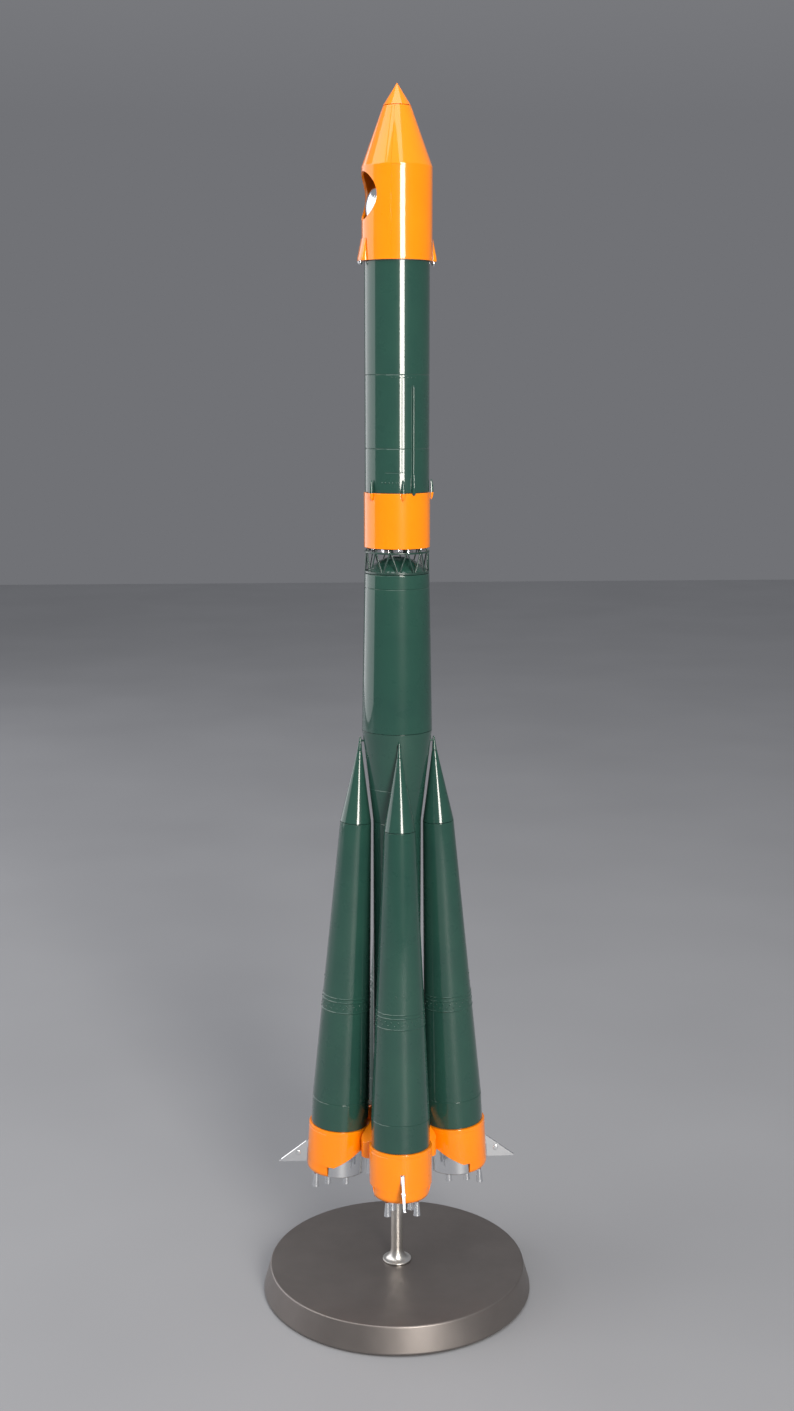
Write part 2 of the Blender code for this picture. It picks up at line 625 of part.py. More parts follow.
def interstage_truss():
    """Zigzag of struts between two rings, with stubs up to a plug inside the band."""
    foot = CORE_TOP_Z + GAP
    foot_top = foot + TRUSS_FOOT_HEIGHT
    head_top = BAND_Z - TRUSS_HEAD_DROP
    head = head_top - TRUSS_HEAD_HEIGHT
    bore = CORE_TOP_RADIUS - WALL
    plug = BAND_RADIUS - BAND_WALL - GAP
    plug_bottom = BAND_Z - GAP
    plug_top = BAND_Z + UPPER_PLATE_RISE - GAP
    middle = (TRUSS_RADIUS + bore) / 2
    plug_middle = plug - WALL / 2
    lower = turned("interstage_truss", [(TRUSS_RADIUS, foot), (TRUSS_RADIUS, foot_top),
                                        (bore, foot_top), (bore, foot)])
    upper = turned("ring", [(TRUSS_RADIUS, head), (TRUSS_RADIUS, head_top), (bore, head_top),
                            (bore, head)])
    collar = turned("collar", [(plug, plug_bottom), (plug, plug_top), (plug - WALL, plug_top),
                               (plug - WALL, plug_bottom)])
    sink = TRUSS_STRUT_RADIUS
    offset = 1.3 * TRUSS_STRUT_RADIUS / middle     # a pair of feet stand side by side
    struts = []
    for bay in range(TRUSS_BAYS):
        node = math.tau * (bay + 0.5) / TRUSS_BAYS
        stub_foot = Vector((middle * math.cos(node), middle * math.sin(node), head_top - sink))
        stub_head = Vector((plug_middle * math.cos(node), plug_middle * math.sin(node),
                            plug_bottom + sink))
        struts.append(rod("stub", stub_foot, stub_head, TRUSS_STRUT_RADIUS, segments=5))
        for side in (-1, 1):
            low = math.tau * bay / TRUSS_BAYS + side * offset
            high = math.tau * (bay + side / 2) / TRUSS_BAYS - side * offset
            struts.append(rod(
                "strut", (middle * math.cos(low), middle * math.sin(low), foot_top - sink),
                (middle * math.cos(high), middle * math.sin(high), head + sink),
                TRUSS_STRUT_RADIUS, segments=5))
    return united(lower, *struts, upper, collar)


# ---------------------------------------------------------------- boosters


def on_booster_axis(station):
    """(radius from the core's axis, 0, height) of a point this far down a booster's axis."""
    return Vector((APEX_R + station * math.sin(LEAN), 0, APEX_Z - station * math.cos(LEAN)))


def in_booster_frame(radius, height):
    """(x, z) in a booster's own frame of a point given by its radius and height."""
    offset = Vector((radius - APEX_R, height - APEX_Z))
    outward = Vector((math.cos(LEAN), math.sin(LEAN)))
    upward = Vector((-math.sin(LEAN), math.cos(LEAN)))
    return offset.dot(outward), offset.dot(upward)


def booster_tank_radius(station):
    share = (station - BOOSTER_NOSE_LENGTH) / BOOSTER_TAPER_LENGTH
    return BOOSTER_NOSE_RADIUS + min(1.0, share) * (BOOSTER_RADIUS - BOOSTER_NOSE_RADIUS)


def nose_radius(station):
    share = (station - BOOSTER_TIP_LENGTH) / (BOOSTER_NOSE_LENGTH - BOOSTER_TIP_LENGTH)
    return BOOSTER_TIP_RADIUS + share * (BOOSTER_NOSE_RADIUS - BOOSTER_TIP_RADIUS)


def booster_hook():
    """Slim tip with an arm and a ball that hooks into the core's wall."""
    stem = HOOK_RADIUS
    bottom = -BOOSTER_TIP_LENGTH
    outline = [(0, 0), (0.7 * stem, -0.4 * stem), (BOOSTER_TIP_RADIUS, bottom), (stem, bottom),
               (stem, bottom - SPIGOT), (0, bottom - SPIGOT)]
    x, z = in_booster_frame(HINGE_R, HINGE_Z)
    end = x - HOOK_REACH
    arm = rod("arm", (0.2 * stem, 0, z), (end, 0, z), HOOK_RADIUS)
    return united(turned("hook", outline, SMALL_SEGMENTS), arm,
                  ball("ball", (end, 0, z), HOOK_BALL_RADIUS))


def booster_nose():
    top = BOOSTER_TIP_LENGTH + GAP
    bottom = BOOSTER_NOSE_LENGTH - GAP / 2
    bore = HOOK_RADIUS + GAP
    outline = [
        (nose_radius(top), -top), (nose_radius(bottom), -bottom),
        (nose_radius(bottom) - WALL, -bottom), (bore, -top - SPIGOT - WALL), (bore, -top),
    ]
    return turned("nose", outline, BOOSTER_SEGMENTS)


def booster_tank():
    top = BOOSTER_NOSE_LENGTH + GAP / 2
    shoulder = BOOSTER_NOSE_LENGTH + BOOSTER_TAPER_LENGTH
    bottom = SKIRT_STATION - GAP
    plug = nose_radius(BOOSTER_NOSE_LENGTH - SPIGOT) - WALL - GAP
    inside = top + WALL
    outline = [
        (plug, SPIGOT - BOOSTER_NOSE_LENGTH), (plug, -top), (booster_tank_radius(top), -top),
        (BOOSTER_RADIUS, -shoulder), (BOOSTER_RADIUS, -bottom), (BOOSTER_RADIUS - WALL, -bottom),
        (BOOSTER_RADIUS - WALL, -shoulder), (plug - WALL, -inside),
        (plug - WALL, SPIGOT - BOOSTER_NOSE_LENGTH),
    ]
    hole = rod("hole", (WALL - BOOSTER_RADIUS + 2 * WALL, 0, -PEG_STATION),
               (-BOOSTER_RADIUS - WALL, 0, -PEG_STATION), PEG_RADIUS + GAP)
    return cut(turned("tank", outline, BOOSTER_SEGMENTS), hole)


def booster_peg():
    """Flanged peg from the booster's wall into a hole in the core."""
    core_wall = on_booster_axis(PEG_STATION).x - CORE_NARROW_RADIUS
    end = -core_wall / math.cos(LEAN) - WALL - PEG_INSERTION
    head = WALL - BOOSTER_RADIUS + 2 * GAP
    z = -PEG_STATION
    chamfer = PEG_RADIUS / 3
    peg = rod("peg", (head + WALL, 0, z), (end + chamfer, 0, z), PEG_RADIUS)
    tip = rod("tip", (end + 1.5 * chamfer, 0, z), (end, 0, z), 0.95 * PEG_RADIUS,
              0.6 * PEG_RADIUS)
    flange = rod("flange", (head + 0.9 * WALL, 0, z), (head, 0, z), 1.6 * PEG_RADIUS)
    return united(peg, flange, tip)


def cutout_height(angle):
    """How far the skirt's lower edge is above its lowest point, at an angle from outward."""
    if angle < SHOULDER_HALF_ANGLE:
        return SHOULDER_LENGTH
    share = (angle - SHOULDER_HALF_ANGLE) / (CUTOUT_HALF_ANGLE - SHOULDER_HALF_ANGLE)
    return SHOULDER_LENGTH + min(1.0, share) * (CUTOUT_LENGTH - SHOULDER_LENGTH)


def skirt_cutter(bottom):
    """Ring whose top follows the skirt's lower edge."""
    stops = [SHOULDER_HALF_ANGLE * i / 4 for i in range(5)]
    stops += [SHOULDER_HALF_ANGLE + (CUTOUT_HALF_ANGLE - SHOULDER_HALF_ANGLE) * i / 4
              for i in range(1, 5)]
    stops += [150.0]
    angles = stops + [180.0] + [360.0 - angle for angle in stops[:0:-1]]
    bm = bmesh.new()
    rings = []
    for angle in angles:
        turn = math.radians(angle)
        height = bottom + cutout_height(min(angle, 360.0 - angle))
        rings.append([bm.verts.new((r * math.cos(turn), r * math.sin(turn), z))
                      for r in (SKIRT_RADIUS - 3 * WALL, 1.2 * SKIRT_RADIUS)
                      for z in (bottom - WALL, height)])
    for i, ring in enumerate(rings):
        following = rings[(i + 1) % len(rings)]
        for a, b in ((0, 1), (1, 3), (3, 2), (2, 0)):
            bm.faces.new((ring[a], ring[b], following[b], following[a]))
    return new_object("cutter", bm)


def booster_flap(bottom):
    """Curved sheet that hangs from the skirt under the fin, with a rim that curls in."""
    top = bottom + SHOULDER_LENGTH
    curl = bottom + FLAP_CURL
    end = math.radians(FLAP_HALF_ANGLE)
    bm = bmesh.new()
    rings = []
    for i in range(FLAP_COLUMNS + 1):
        turn = end * (2 * i / FLAP_COLUMNS - 1)
        face = SKIRT_RADIUS - HAIR - FLAP_STEP * (1 - math.cos(turn)) / (1 - math.cos(end))
        edge = face - FLAP_INSET
        outline = [
            (face, top + WALL), (face, curl), (face - 0.13 * FLAP_INSET, bottom + 0.5 * FLAP_CURL),
            (face - 0.45 * FLAP_INSET, bottom + 0.15 * FLAP_CURL), (edge, bottom),
            (edge - FLAP_WALL, bottom), (edge - FLAP_WALL / 2, bottom + 0.5 * FLAP_CURL),
            (face - WALL, curl + WALL), (face - WALL, top + WALL),
        ]
        rings.append([bm.verts.new((r * math.cos(turn), r * math.sin(turn), z))
                      for r, z in outline])
    for ring, following in zip(rings, rings[1:]):
        for j in range(len(ring)):
            k = (j + 1) % len(ring)
            bm.faces.new((ring[j], ring[k], following[k], following[j]))
    bm.faces.new(rings[0])
    bm.faces.new(rings[-1])
    return new_object("flap", bm)


def booster_skirt():
    top = -SKIRT_STATION
    bottom = top - SKIRT_LENGTH
    plug = BOOSTER_RADIUS - WALL - GAP
    bore = SKIRT_RADIUS - WALL
    outline = [(SKIRT_RADIUS, top), (SKIRT_RADIUS, bottom), (bore, bottom), (bore, top - WALL),
               (plug - WALL, top - WALL), (plug - WALL, top + SPIGOT), (plug, top + SPIGOT),
               (plug, top)]
    skirt = cut(turned("skirt", outline, BOOSTER_SEGMENTS), skirt_cutter(bottom))
    united(skirt, booster_flap(bottom))
    slot_bottom = bottom + FIN_TAB_RISE - GAP
    slot_top = slot_bottom + FIN_TAB_LENGTH + 2 * GAP
    slot = [(bore - WALL, slot_bottom), (SKIRT_RADIUS + WALL, slot_bottom),
            (SKIRT_RADIUS + WALL, slot_top), (bore - WALL, slot_top)]
    return cut(skirt, plate("slot", slot, FIN_THICKNESS + 2 * GAP))


def booster_fin():
    """Thin swept plate that stands out from the skirt, with a tab through its wall."""
    root = SKIRT_RADIUS + GAP
    axis_x = on_booster_axis(SKIRT_STATION).x
    bottom_z = APEX_Z - (SKIRT_STATION + SKIRT_LENGTH) * math.cos(LEAN) + FIN_RISE
    tip_x, tip_z = in_booster_frame(axis_x + SKIRT_RADIUS + FIN_SPAN, bottom_z + FIN_TIP_LIFT)
    inner_z = in_booster_frame(axis_x + SKIRT_RADIUS, bottom_z)[1]
    tab_bottom = FIN_TAB_RISE - SKIRT_STATION - SKIRT_LENGTH
    outline = [
        (root, tip_z + FIN_HEIGHT), (tip_x - FIN_TIP_SLANT, tip_z + FIN_TIP_RISE),
        (tip_x - FIN_TIP_EASE, tip_z + FIN_TIP_LAND), (tip_x, tip_z), (root, inner_z),
        (root, tab_bottom), (SKIRT_RADIUS - WALL - GAP, tab_bottom),
        (SKIRT_RADIUS - WALL - GAP, tab_bottom + FIN_TAB_LENGTH), (root, tab_bottom + FIN_TAB_LENGTH),
    ]
    fin = plate("fin", outline, FIN_THICKNESS)
    rivet_x = root + 0.3 * FIN_SPAN
    rivet_z = tip_z + 0.42 * FIN_HEIGHT
    side = FIN_THICKNESS / 2 + GAP
    return united(fin, rod("rivet", (rivet_x, -side, rivet_z), (rivet_x, side, rivet_z),
                           FIN_RIVET_RADIUS))


def booster_engine():
    """Chrome tail: cylinder with a floor, four main bells and two verniers."""
    top = -SKIRT_STATION - WALL - GAP
    floor = -SKIRT_STATION - SKIRT_LENGTH + GAP
    outer = SKIRT_RADIUS - WALL - GAP
    inside = FLAP_RADIUS - FLAP_WALL - GAP
    hollow = inside - WALL
    outline = [(0, floor + WALL), (hollow, floor + WALL), (hollow, top), (outer, top),
               (outer, floor + WALL), (outer - 0.6 * WALL, floor), (0, floor)]
    engine = turned("engine", outline, BOOSTER_SEGMENTS)
    relief_top = floor + SHOULDER_LENGTH + 2 * WALL
    relief = [(inside, floor - WALL), (2 * inside, floor - WALL), (2 * inside, relief_top),
              (inside, relief_top)]
    cut(engine, sector("relief", relief, 0.0, FLAP_HALF_ANGLE + 2.0, 7))
    bells = []
    for x in (-BELL_SPACING, BELL_SPACING):
        for y in (-BELL_SPACING, BELL_SPACING):
            bells.append(moved(bell("bell", BELL_THROAT, BELL_RADIUS, BELL_LENGTH),
                               at(x, y, floor + WALL / 2)))
    under_flap = -SKIRT_STATION - SKIRT_LENGTH - GAP
    reach = math.hypot(VERNIER_OUT, VERNIER_SIDE)
    angle = math.degrees(math.atan2(VERNIER_SIDE, VERNIER_OUT))
    arm_bottom = under_flap - WALL
    arm_outline = [
        (hollow - 2 * WALL, floor + WALL / 2), (inside - WALL / 2, floor + WALL / 2),
        (inside - WALL / 2, under_flap), (reach + VERNIER_THROAT / 2, under_flap),
        (reach + VERNIER_THROAT / 2, arm_bottom), (hollow - 2 * WALL, arm_bottom),
    ]
    arms = []
    for side in (-angle, angle):
        arms.append(moved(plate("arm", arm_outline, 1.6 * VERNIER_THROAT), about_z(side)))
        length = BELL_LENGTH - (floor - under_flap)
        bells.append(moved(bell("vernier", VERNIER_THROAT, VERNIER_RADIUS, length),
                           about_z(side) @ at(reach, 0, under_flap - WALL / 3)))
    return united(engine, joined("arms", arms), joined("bells", bells))


# ---------------------------------------------------------------- upper stage


def upper_stage_band():
    bore = BAND_RADIUS - BAND_WALL
    ledge = BAND_Z + UPPER_PLATE_RISE + 2 * WALL + GAP
    outline = [(BAND_RADIUS, BAND_Z), (BAND_RADIUS, STAGE_Z), (bore, STAGE_Z),
               (bore, ledge + WALL), (bore - WALL, ledge + WALL), (bore - WALL, ledge),
               (bore, ledge), (bore, BAND_Z)]
    return turned("upper_stage_band", outline)


def upper_stage_tank():
    bottom = STAGE_Z + GAP
    plug = BAND_RADIUS - BAND_WALL - GAP
    inside = STAGE_RADIUS - WALL
    outline = [(plug, bottom - SPIGOT), (plug, bottom), (STAGE_RADIUS, bottom)]
    for rise in STAGE_GROOVES:
        outline += ring_groove(STAGE_RADIUS, STAGE_Z + rise)
    outline += [(STAGE_RADIUS, FAIRING_Z), (inside, FAIRING_Z), (inside, bottom + 2 * WALL),
                (plug - WALL, bottom + WALL), (plug - WALL, bottom - SPIGOT)]
    return turned("upper_stage_tank", outline)


def upper_engine():
    bottom = BAND_Z + UPPER_PLATE_RISE
    rim = BAND_RADIUS - BAND_WALL - GAP
    engine = turned("upper_engine", [(0, bottom), (rim, bottom), (rim, bottom + 2 * WALL),
                                     (0, bottom + 2 * WALL)])
    bells = []
    for quarter in range(4):
        turn = about_z(45 + 90 * quarter)
        between = about_z(90 * quarter)
        bells.append(moved(bell("bell", UPPER_BELL_RADIUS / 2, UPPER_BELL_RADIUS,
                                UPPER_BELL_LENGTH),
                           turn @ at(UPPER_BELL_CIRCLE, 0, bottom + WALL / 2)))
        bells.append(moved(bell("vernier", VERNIER_THROAT / 2, VERNIER_RADIUS / 2,
                                0.8 * UPPER_BELL_LENGTH),
                           between @ at(UPPER_VERNIER_CIRCLE, 0, bottom + WALL / 2)))
    return united(engine, joined("bells", bells))


def raceway():
    """Cable duct up the side of the stage, with a fatter pod at its lower end."""
    inner = STAGE_RADIUS + GAP
    over_band = BAND_RADIUS + GAP
    outer = inner + RACEWAY_HEIGHT
    pod_end = outer + RACEWAY_POD_ENDS
    top = STAGE_Z + RACEWAY_LENGTH
    pod_top = STAGE_Z + RACEWAY_POD_LENGTH
    step = STAGE_Z + 2 * GAP
    outline = [
        (over_band, STAGE_Z - WALL), (pod_end, STAGE_Z),
        (outer + RACEWAY_POD_PROUD, STAGE_Z + RACEWAY_POD_MIDDLE), (pod_end, pod_top),
        (outer, pod_top + 2 * WALL), (outer, top - RACEWAY_TAPER), (inner + GAP, top),
        (inner, top), (inner, step), (over_band, step),
    ]
    half_angle = math.degrees(RACEWAY_HALF_WIDTH / STAGE_RADIUS)
    return sector("raceway", outline, RACEWAY_AZIMUTH, half_angle, 3)


def joint_pod(name, azimuth):
    """Small streamlined fitting over the joint of the band and the tank."""
    inner = BAND_RADIUS + GAP
    outer = inner + JOINT_POD_HEIGHT
    bottom = STAGE_Z - JOINT_POD_BELOW
    top = STAGE_Z + JOINT_POD_ABOVE
    outline = [(inner, bottom), (outer - 0.3 * JOINT_POD_HEIGHT, STAGE_Z - 0.6 * JOINT_POD_BELOW),
               (outer, STAGE_Z), (outer - 0.3 * JOINT_POD_HEIGHT, STAGE_Z + 0.5 * JOINT_POD_ABOVE),
               (inner + 0.2 * JOINT_POD_HEIGHT, top - WALL / 2), (inner, top)]
    half_angle = math.degrees(JOINT_POD_HALF_WIDTH / STAGE_RADIUS)
    return sector(name, outline, azimuth, half_angle, 3)


def payload_deck():
    """Bulkhead that closes the tank and seats the fairing and the capsule's module."""
    plug = STAGE_RADIUS - WALL - GAP
    rim = FAIRING_RADIUS - WALL - GAP
    bottom = FAIRING_Z + GAP
    top = FAIRING_Z + FAIRING_SEAT_RISE
    floor = bottom + 2 * WALL
    outline = [(0, bottom), (plug - WALL, bottom), (plug - WALL, FAIRING_Z - SPIGOT),
               (plug, FAIRING_Z - SPIGOT), (plug, bottom), (rim, bottom), (rim, top),
               (rim - WALL, top), (rim - WALL, floor), (0, floor)]
    return turned("payload_deck", outline)


def service_module():
    """Double cone under the capsule, dished on top to hold it."""
    bottom = FAIRING_Z + GAP + 2 * WALL + GAP
    centre = FAIRING_Z + CAPSULE_RISE
    dish = CAPSULE_RADIUS + GAP
    rim_angle = math.radians(44)
    steps = 5
    arc = [(dish * math.sin(rim_angle * i / steps), centre - dish * math.cos(rim_angle * i / steps))
           for i in range(steps + 1)]
    rim_radius, rim_z = arc[-1]
    waist = rim_radius + 3.2 * WALL
    outline = [*arc, (rim_radius + WALL / 2, rim_z), (waist, (bottom + 2 * rim_z) / 3),
               (waist, (2 * bottom + rim_z) / 3), (rim_radius, bottom), (0, bottom)]
    return turned("service_module", outline, BOOSTER_SEGMENTS)


def capsule_ball():
    centre = FAIRING_Z + CAPSULE_RISE
    steps = 12
    outline = [(CAPSULE_RADIUS * math.sin(math.pi * i / steps),
                centre + CAPSULE_RADIUS * math.cos(math.pi * i / steps)) for i in range(steps + 1)]
    outline[0] = (0.0, centre + CAPSULE_RADIUS)
    outline[-1] = (0.0, centre - CAPSULE_RADIUS)
    return turned("capsule_ball", outline, BOOSTER_SEGMENTS)


# ---------------------------------------------------------------- fairing


def fairing_shell():
    """Cylinder and cone with a round porthole on one side."""
    taper = (FAIRING_RADIUS - FAIRING_CONE_RADIUS) / FAIRING_CONE_LENGTH
    slant = WALL * math.hypot(1.0, taper)
    bore = FAIRING_RADIUS - WALL
    seat = FAIRING_Z + FAIRING_SEAT_RISE + GAP
    ledge = CAPSULE_RADIUS + GAP
    lid = NOSE_CAP_Z - 2 * WALL
    cap_hole = FAIRING_CONE_RADIUS - 2 * WALL
    outline = [
        (FAIRING_RADIUS, FAIRING_Z + GAP), (FAIRING_RADIUS, SHOULDER_Z),
        (FAIRING_CONE_RADIUS, NOSE_CAP_Z), (cap_hole, NOSE_CAP_Z), (cap_hole, lid),
        (FAIRING_RADIUS - taper * (lid - SHOULDER_Z) - slant, lid),
        (bore, SHOULDER_Z - (slant - WALL) / taper), (bore, seat + 2 * WALL),
        (ledge, seat + 1.4 * WALL), (ledge, seat), (bore, seat), (bore, FAIRING_Z + GAP),
    ]
    shell = turned("fairing_shell", outline, 32)
    height = FAIRING_Z + PORTHOLE_RISE
    window = rod("window", (FAIRING_RADIUS / 2, 0, height), (1.5 * FAIRING_RADIUS, 0, height),
                 PORTHOLE_RADIUS, segments=24)
    return cut(shell, moved(window, about_z(PORTHOLE_AZIMUTH)))


def nose_cap():
    bottom = NOSE_CAP_Z + GAP
    stub = FAIRING_CONE_RADIUS - 2 * WALL - GAP
    outline = [(0, TIP_Z), (NOSE_CAP_TIP, TIP_Z - NOSE_CAP_TIP), (FAIRING_CONE_RADIUS, bottom),
               (stub, bottom), (stub, NOSE_CAP_Z - 2 * WALL), (0, NOSE_CAP_Z - 2 * WALL)]
    return turned("nose_cap", outline, BOOSTER_SEGMENTS)


def fairing_pod(name, azimuth):
    inner = FAIRING_RADIUS + GAP
    bottom = FAIRING_Z + GAP
    outline = [(inner, bottom), (POD_REACH, bottom), (POD_REACH, bottom + WALL),
               (inner + GAP, bottom + POD_LENGTH), (inner, bottom + POD_LENGTH)]
    pod = sector(name, outline, azimuth, POD_HALF_ANGLE, 8)
    hole = rod("hole", (pod_screw_radius(), 0, bottom - WALL),
               (pod_screw_radius(), 0, bottom + 3 * WALL + GAP), POD_SCREW_RADIUS + GAP / 2,
               segments=10)
    return cut(pod, moved(hole, about_z(azimuth)))


def pod_screw_radius():
    """Distance of the pods' screws from the axis, in the middle of the pod's foot."""
    return (FAIRING_RADIUS + GAP + POD_REACH) / 2


def pod_screw(name, azimuth):
    head = FAIRING_Z
    outline = [(0, head - 1.6 * WALL), (0.7 * POD_SCREW_HEAD_RADIUS, head - 1.2 * WALL),
               (POD_SCREW_HEAD_RADIUS, head - 0.5 * WALL), (POD_SCREW_HEAD_RADIUS, head),
               (POD_SCREW_RADIUS - GAP / 2, head), (POD_SCREW_RADIUS - GAP / 2, head + 3 * WALL),
               (0, head + 3 * WALL)]
    return moved(turned(name, outline, 10), about_z(azimuth) @ at(pod_screw_radius(), 0, 0))


# ---------------------------------------------------------------- assembly


def build_boosters(finishes, core):
    """Makes each booster piece once and hangs a copy of it at every azimuth."""
    pieces = {
        "hook": (booster_hook(), finishes["hook"]),
        "nose": (booster_nose(), finishes["green"]),
        "tank": (booster_tank(), finishes["green"]),
        "skirt": (booster_skirt(), finishes["orange"]),
        "engine": (booster_engine(), finishes["chrome"]),
        "fin": (booster_fin(), finishes["chrome"]),
        "base_peg": (booster_peg(), finishes["nylon"]),
    }
    for side, azimuth in BOOSTER_AZIMUTHS.items():
        turn = about_z(azimuth)
        hinge = empty(f"booster_{side}_hinge", turn @ Vector((HINGE_R, 0, HINGE_Z)), core)
        placed = turn @ at(APEX_R, 0, APEX_Z) @ Matrix.Rotation(-LEAN, 4, "Y")
        for piece, (pattern, finish) in pieces.items():
            copy = pattern.copy()
            copy.data = pattern.data.copy()
            copy.name = f"booster_{side}_{piece}"
            bpy.context.scene.collection.objects.link(copy)
            finished(moved(copy, placed), finish, hinge)
    for pattern, _ in pieces.values():
        bpy.data.objects.remove(pattern)


def main():
    clear_scene()
    finishes = {
        "gunmetal": material("Gunmetal", "#6b6664", 0.35, 0.8),
        "felt": material("Felt", "#20211f", 0.95),
        "steel": material("Polished steel", "#c9c8c4", 0.15, 1.0),
        "nylon": material("Nylon", "#e4e0d4", 0.45),
        "green": material("Green gloss paint", "#2a4d45", 0.1),
        "hook": material("Green gloss metal", "#2f5248", 0.15, 0.3),
        "truss": material("Dark green metal", "#26403a", 0.3, 0.5),
        "orange": material("Orange gloss paint", "#ff9400", 0.12),
        "chrome": material("Chrome", "#d6d8dc", 0.08, 1.0),
        "grey": material("Grey gloss paint", "#8d9294", 0.25, 0.2),
    }
    stand = empty("stand")
    turntable = empty("rocket_turn", (0, 0, POST_TOP_Z), stand)
    core = empty("rocket_lift", parent=turntable)
    stage = empty("stage_lift", (0, 0, BAND_Z - POST_TOP_Z), core)
    fairing = empty("fairing_lift", (0, 0, FAIRING_Z - BAND_Z), stage)

    finished(base_disc(), finishes["gunmetal"], stand)
    finished(base_pad(), finishes["felt"], stand)
    finished(post(), finishes["steel"], stand)
    finished(post_screw(), finishes["steel"], stand)
    finished(post_washer(), finishes["steel"], stand)
    finished(post_cap(), finishes["nylon"], turntable)

    finished(core_tail_skirt(), finishes["orange"], core)
    finished(core_engine(), finishes["chrome"], core)
    finished(post_socket(), finishes["nylon"], core)
    finished(core_lower_tank(), finishes["green"], core)
    finished(core_upper_tank(), finishes["green"], core)
    finished(core_dome(), finishes["green"], core)
    finished(interstage_truss(), finishes["truss"], core)
    build_boosters(finishes, core)

    finished(upper_stage_band(), finishes["orange"], stage)
    finished(upper_stage_tank(), finishes["green"], stage)
    finished(upper_engine(), finishes["chrome"], stage)
    finished(raceway(), finishes["green"], stage)
    for side, azimuth in JOINT_PODS.items():
        finished(joint_pod(f"joint_pod_{side}", azimuth), finishes["green"], stage)
    finished(payload_deck(), finishes["grey"], stage)
    finished(service_module(), finishes["grey"], stage)
    finished(capsule_ball(), finishes["chrome"], stage)

    finished(fairing_shell(), finishes["orange"], fairing)
    finished(nose_cap(), finishes["orange"], fairing)
    for side, azimuth in POD_AZIMUTHS.items():
        finished(fairing_pod(f"fairing_pod_{side}", azimuth), finishes["orange"], fairing)
        finished(pod_screw(f"pod_screw_{side}", azimuth), finishes["chrome"], fairing)


main()
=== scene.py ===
"""Looks of a desktop display model of a four-booster launch vehicle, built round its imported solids.

Metres, +Z up, the same frame as the solids. Every visible piece is remade here as a fine mesh with
a procedural finish, and rides on the body of the solid that it stands for.
"""

import logging
import math
from collections.abc import Callable, Sequence
from dataclasses import dataclass
from enum import Enum
from typing import Any

import bmesh
import bpy
from mathutils import Matrix, Vector


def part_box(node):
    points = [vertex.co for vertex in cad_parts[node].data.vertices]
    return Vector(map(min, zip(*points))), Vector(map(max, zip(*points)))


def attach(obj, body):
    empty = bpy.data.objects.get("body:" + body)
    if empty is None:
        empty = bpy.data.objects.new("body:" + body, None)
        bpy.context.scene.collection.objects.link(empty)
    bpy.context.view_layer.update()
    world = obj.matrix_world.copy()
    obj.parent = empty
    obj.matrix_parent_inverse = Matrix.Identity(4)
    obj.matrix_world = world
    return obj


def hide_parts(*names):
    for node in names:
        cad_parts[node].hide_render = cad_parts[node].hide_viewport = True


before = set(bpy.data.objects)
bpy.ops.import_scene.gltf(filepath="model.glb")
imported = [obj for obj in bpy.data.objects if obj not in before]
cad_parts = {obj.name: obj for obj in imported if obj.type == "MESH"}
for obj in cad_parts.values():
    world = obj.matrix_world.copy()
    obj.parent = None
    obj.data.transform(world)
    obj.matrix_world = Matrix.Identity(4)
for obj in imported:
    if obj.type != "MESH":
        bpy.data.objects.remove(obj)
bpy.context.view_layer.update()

LOG = logging.getLogger("display_model")
MM = 0.001
GAP = 0.3 * MM
WALL = 1.2 * MM
SPIGOT = 5.0 * MM
SHARP = 34.0
NOISE_LOW = 0.3
NOISE_HIGH = 0.7

Point = tuple[float, float]
Outline = list[Point]
Ring = list[Vector]


class Body(Enum):
    """The bodies that pieces ride on."""

    STAND = "stand"
    SWIVEL = "swivel"
    CORE = "core"
    UPPER_STAGE = "upper_stage"
    FAIRING = "fairing"


class Facing(Enum):
    """The four boosters, by the azimuth in degrees that each one stands at."""

    FRONT = -90.0
    RIGHT = 0.0
    BACK = 90.0
    LEFT = 180.0

    @property
    def side(self) -> str:
        """Lower-case name, as the solids use it."""
        return self.name.lower()


class Solid:
    """Measures of one CAD solid at rest."""

    def __init__(self, node: str) -> None:
        """Reads the solid's box.

        Args:
            node: Name of the CAD node.
        """
        low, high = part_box(node)
        self.bottom: float = low.z
        self.top: float = high.z
        self.reach: float = max(high.x, -low.x, high.y, -low.y)


# ---------------------------------------------------------------- finishes


def linear(hex_colour: str) -> tuple[float, float, float, float]:
    """Turns an sRGB hex colour into linear RGBA.

    Args:
        hex_colour: Colour such as "#2a4d45".

    Returns:
        The linear colour, with alpha 1.
    """
    channels = [int(hex_colour[i:i + 2], 16) / 255 for i in (1, 3, 5)]
    values = [c / 12.92 if c <= 0.04045 else ((c + 0.055) / 1.055) ** 2.4 for c in channels]
    return values[0], values[1], values[2], 1.0


def add_node(tree: bpy.types.NodeTree, kind: str, settings: dict[str | int, Any] | None = None,
             links: dict[str | int, bpy.types.NodeSocket] | None = None) -> bpy.types.Node:
    """Adds a node with its settings and links.

    Args:
        tree: Node tree that gets the node.
        kind: Blender's node type, such as "ShaderNodeTexNoise".
        settings: Values by input name or number, or by attribute name.
        links: Output sockets by the name or number of the input that they feed.

    Returns:
        The new node.
    """
    node = tree.nodes.new(kind)
    for key, value in (settings or {}).items():
        if isinstance(key, str) and hasattr(node, key):
            setattr(node, key, value)
        else:
            node.inputs[key].default_value = value
    for key, socket in (links or {}).items():
        tree.links.new(socket, node.inputs[key])
    return node


